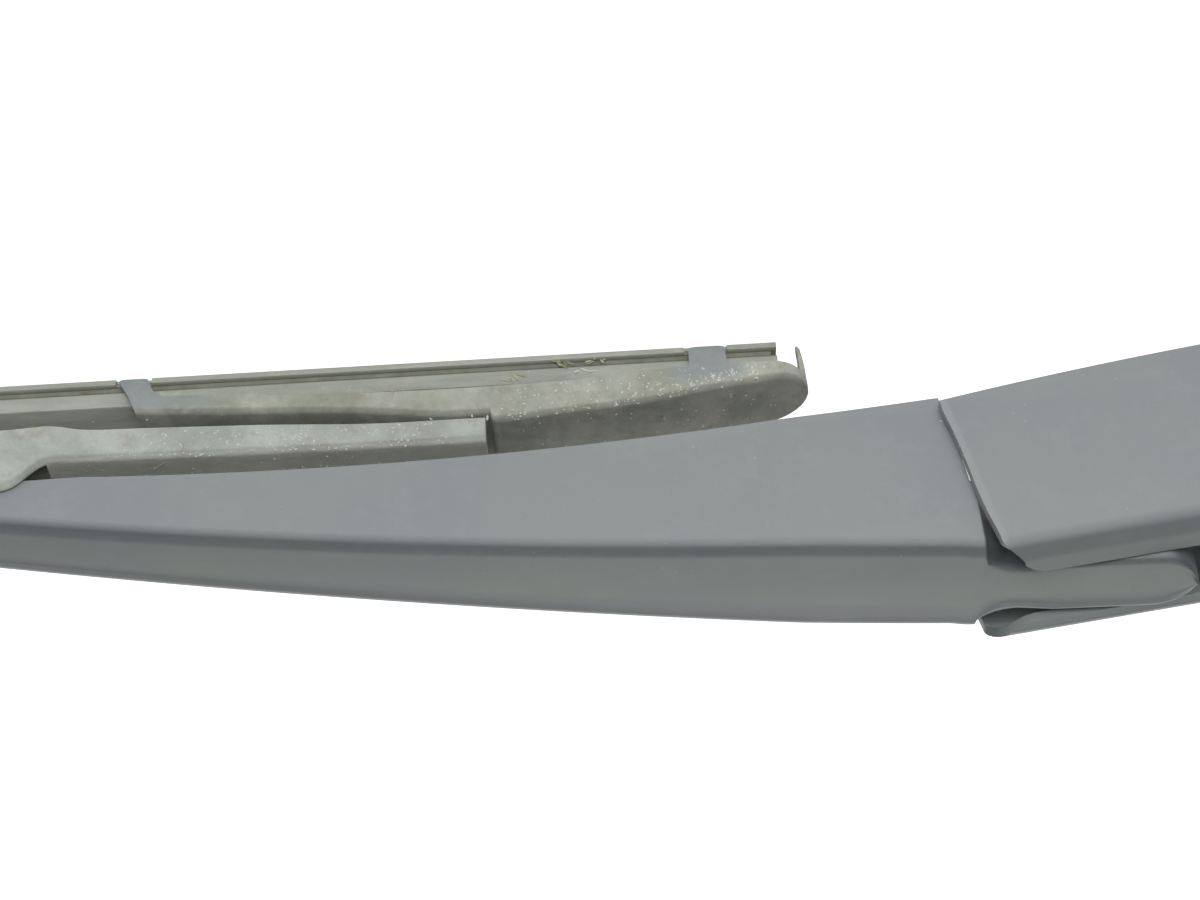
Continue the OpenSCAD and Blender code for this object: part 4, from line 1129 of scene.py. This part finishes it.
# CAD nodes that keep their shape
for node, material, edge in (
    ("spindle_bush", BUSH_ZINC, 0.3), ("nut_cover", COVER_PLASTIC, 0.45), ("nut_cover_pin", PIN_STEEL, 0),
    ("hinge_pin", PIN_STEEL, 0.3), ("hinge_bush_near", BUSH_PLASTIC, 0), ("hinge_bush_far", BUSH_PLASTIC, 0),
    ("link_pin", PIN_STEEL, 0), ("spring_link", LINK_STEEL, 0.3), ("anchor_pin", PIN_STEEL, 0),
    ("blade_clip", CLIP_PLASTIC, 0.5), ("blade_pin", PIN_STEEL, 0.3), ("yoke_pin_heel", PIN_STEEL, 0),
    ("yoke_pin_toe", PIN_STEEL, 0),
):
    paint(NODES[node], material)
    if edge:
        bevel(NODES[node], edge)

# Grit and debris


def grains(name, spots, material, body, seed):
    """Small irregular grains resting on a surface, from (place, radii, turn) spots, as one piece."""
    rnd = random.Random(seed)
    bm = bmesh.new()
    for at, size, turn in spots:
        lump = bmesh.new()
        bmesh.ops.create_icosphere(lump, subdivisions=1, radius=1)
        for v in lump.verts:
            v.co *= 1 + rnd.uniform(-0.25, 0.25)
        lump.transform(Matrix.Translation(at) @ turn @ Matrix.Diagonal((*size, 1)))
        mesh = bpy.data.meshes.new("lump")
        lump.to_mesh(mesh)
        lump.free()
        bm.from_mesh(mesh)
        bpy.data.meshes.remove(mesh)
    obj = to_object(name, bm, material, False)
    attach(obj, body)


CORNER_R = 1.2


def scatter(rnd, part, count, span, surface, biggest):
    """Spots on the side walls, the back or the long corners of a channel, between two places on it.
    surface holds tables of its half width, lower edge and back, and its centre and direction along X."""
    *tables, (centre, flip) = surface
    least = 0.06 if part == "corner" else 0.07
    longest = 2.4 if part == "corner" else 2.6
    out = []
    for k in range(count):
        side = -1 if k % 2 else 1
        d = rnd.uniform(*span)
        # The bow's tables hold its heel half, and the places on a yoke are all below 0
        half, low, high = (along_table(table, -abs(d)) for table in tables)
        if part == "wall":
            y, z = side * half, rnd.uniform(low + 0.5, high - 1.1)
        r = rnd.uniform(least, biggest)
        if part == "corner":
            a = rnd.uniform(0.3, 1.2)
            y = side * (half - CORNER_R + CORNER_R * math.cos(a))
            z = high - CORNER_R + CORNER_R * math.sin(a)
        turn = Matrix.Rotation(rnd.uniform(0, math.pi), 4, "Z" if part == "back" else "Y")
        if part == "back":
            y, z = rnd.uniform(-0.8, 0.8) * half, high + 0.08
        long = r * rnd.uniform(0.9, longest)
        size = {"wall": (long, 0.08, r), "back": (long, r, 0.08), "corner": (long, 0.1, r)}[part]
        out.append(((centre + flip * d, y, z), size, turn))
    return out


YOKE_HALF = [(YOKE_END, YOKE_HW), (0, YOKE_HW), (YOKE_INNER_END, YOKE_HW)]
UPPER_WALL = [(d, z - 3.2) for d, z in YOKE_BACK]
for tag, flip, seed in (("heel", 1, 11), ("toe", -1, 12)):
    rnd = random.Random(seed)
    body = tag + "_yoke"
    x_of = (YOKE_CENTRES[tag], flip)
    skin = (YOKE_HALF, YOKE_EDGE, YOKE_BACK, x_of)
    spots = scatter(rnd, "wall", 230, (-54, -9), skin, 0.15)
    spots += scatter(rnd, "wall", 70, (-52, -36), (YOKE_HALF, UPPER_WALL, YOKE_BACK, x_of), 0.2)
    spots += scatter(rnd, "back", 60, (-56, -10), skin, 0.16)
    spots += scatter(rnd, "corner", 130, (-53, -10), skin, 0.16)
    grains(body + "_grit", spots, PALE_FLECK, body, seed)
    straws = scatter(rnd, "wall", 26, (-54, -9), skin, 0.1)
    straws = [(at, (size[0] * 4, 0.06, 0.07), turn) for at, size, turn in straws]
    grains(body + "_straw", straws, STRAW, body, seed)
for tag, span, seed in (("heel", (-121, -60), 13), ("toe", (60, 121), 14)):
    rnd = random.Random(seed)
    skin = (BOW_HALF, BOW_EDGE, BOW_BACK, (PIVOT_X, 1))
    spots = scatter(rnd, "wall", 260, span, skin, 0.14)
    spots += scatter(rnd, "back", 60, span, skin, 0.16)
    spots += scatter(rnd, "corner", 150, span, skin, 0.16)
    grains(f"bow_{tag}_grit", spots, PALE_FLECK, "blade", seed)

# Single pieces of grit, straw and hair, as (place, radii, axis, turn, material, body)
FLECKS = [
    ((154.07, -6.1, 2.64), (0.22, 0.25, 0.6), "Y", 5, PALE_FLECK, "blade"),
    ((224.01, -2.36, 6.6), (0.95, 0.32, 0.25), "Z", 4, PALE_FLECK, "blade"),
    ((208.35, -3.56, 6.55), (1.5, 0.14, 0.12), "Z", 40, STRAW, "blade"),
    ((226.89, -2.85, 6.55), (1.3, 0.07, 0.06), "Z", 16, PALE_FLECK, "blade"),
    ((226.43, -1.96, 6.55), (1.0, 0.06, 0.06), "Z", -18, STRAW, "blade"),
    ((211.25, -4.24, -2.55), (0.25, 0.18, 0.1), "Z", 20, PALE_FLECK, "heel_yoke"),
    ((221.28, -1.02, -5.35), (0.25, 0.14, 0.1), "Z", 60, PALE_FLECK, "blade"),
    ((163.42, -6.2, 2.25), (0.42, 0.12, 0.16), "Y", 30, PALE_FLECK, "blade"),
    ((156.62, -6.2, 2.11), (0.3, 0.12, 0.16), "Y", 80, PALE_FLECK, "blade"),
    ((125.5, -6.5, 0.2), (0.45, 0.12, 0.13), "Y", 35, PALE_FLECK, "heel_yoke"),
    ((109.0, -6.4, -2.29), (0.45, 0.12, 0.16), "Y", 15, PALE_FLECK, "heel_yoke"),
    ((80.83, -11.35, 12.68), (0.34, 0.08, 0.13), "Y", 10, PALE_FLECK, "arm"),
]
# Bright grains along the edge of the head's near cheek, as (x, z)
SPARKS = [
    (80.65, 10.55), (80.48, 11.38), (80.02, 13.68), (79.77, 14.9), (79.65, 15.52), (79.4, 16.75),
    (79.28, 17.37), (78.91, 19.21), (78.55, 20.99), (77.58, 25.77), (76.99, 28.72), (76.05, 33.37),
]
for k, (x, z) in enumerate(SPARKS):
    size = (round(0.1 + 0.05 * (k % 3), 2), 0.12, round(0.09 + 0.03 * (k % 4), 2))
    FLECKS.append(((x, -13.1, z), size, "Y", 40 * k % 180, PALE_FLECK, "head"))
for k, (at, size, axis, turn, material, body) in enumerate(FLECKS):
    grains(f"fleck_{k:02d}", [(at, size, Matrix.Rotation(math.radians(turn), 4, axis))], material, body, k)

# Tufts of dry moss caught in the rubber's groove
TUFTS = [
    ((140.86, -4.75, -9.24), GREEN_FLECK, 9),
    ((149.39, -4.75, -6.83), STRAW, 7),
    ((135.43, -4.75, -9.49), STRAW, 6),
    ((108.46, -4.75, -11.66), STRAW, 5),
    ((137.56, -4.75, -7.25), PALE_FLECK, 3),
]
for k, (at, material, count) in enumerate(TUFTS):
    rnd = random.Random(50 + k)
    spots = []
    for _ in range(count):
        shift = Vector((rnd.uniform(-1.6, 1.6), rnd.uniform(-0.15, 0.1), rnd.uniform(-0.7, 0.7)))
        place = Vector(at) + shift
        place.z = max(place.z, -10.7)
        spots.append((place, (rnd.uniform(0.3, 1.0), 0.1, rnd.uniform(0.08, 0.2)),
                      Matrix.Rotation(rnd.uniform(-1.2, 1.2), 4, "Y")))
    grains(f"tuft_{k}", spots, material, "heel_yoke", 70 + k)

# Floor and light


def make_floor():
    bm = bmesh.new()
    bmesh.ops.create_grid(bm, x_segments=1, y_segments=1, size=3000)
    floor = to_object("floor", bm, PALE_FLECK, False)
    floor.location = (0.2, 0, (GLASS_Z - 0.15) * MM)
    g = material_graph("floor")
    g.finish((0.82, 0.82, 0.82), 0.9, 0.0, 0.2)
    path = g.nodes.new("ShaderNodeLightPath")
    seen = g.math("MAXIMUM", path.outputs["Is Camera Ray"],
                  g.math("MAXIMUM", path.outputs["Is Glossy Ray"], path.outputs["Is Transmission Ray"]))
    glow = g.nodes.new("ShaderNodeEmission")
    glow.inputs["Color"].default_value = (1, 1, 1, 1)
    g.link(g.times(seen, 0.88), glow.inputs["Strength"])
    add = g.nodes.new("ShaderNodeAddShader")
    g.link(g.bsdf.outputs[0], add.inputs[0])
    g.link(glow.outputs[0], add.inputs[1])
    g.link(add.outputs[0], g.nodes["Material Output"].inputs["Surface"])
    paint(floor, g.owner)


def make_world():
    scene.world = bpy.data.worlds.new("world")
    g = Graph(scene.world)
    path = g.nodes.new("ShaderNodeLightPath")
    seen = g.math("MAXIMUM", path.outputs["Is Camera Ray"], path.outputs["Is Transmission Ray"])
    # The sky is dimmer above the near side
    dim = g.span(g.dot(g.direction, (0, -0.72, 0.69)), 0.45, 0.95, 0.48, 0.13)
    back = g.nodes["Background"]
    back.inputs["Color"].default_value = (1, 1, 1, 1)
    g.link(g.math("MAXIMUM", seen, dim), back.inputs["Strength"])


def area_light(name, place, aim, size, power):
    data = bpy.data.lights.new(name, "AREA")
    data.shape = "DISK"
    data.size = size
    data.energy = power
    light = bpy.data.objects.new(name, data)
    light.location = place
    light.rotation_mode = "QUATERNION"
    light.rotation_quaternion = (Vector(place) - Vector(aim)).to_track_quat("Z", "Y")
    scene.collection.objects.link(light)


make_floor()
make_world()
area_light("back_light", (0.15, 0.75, 0.75), (0.15, 0, 0.02), 0.9, 2.3)
area_light("front_light", (0.1, -0.9, 0.12), (0.15, 0, 0.01), 0.9, 8.2)
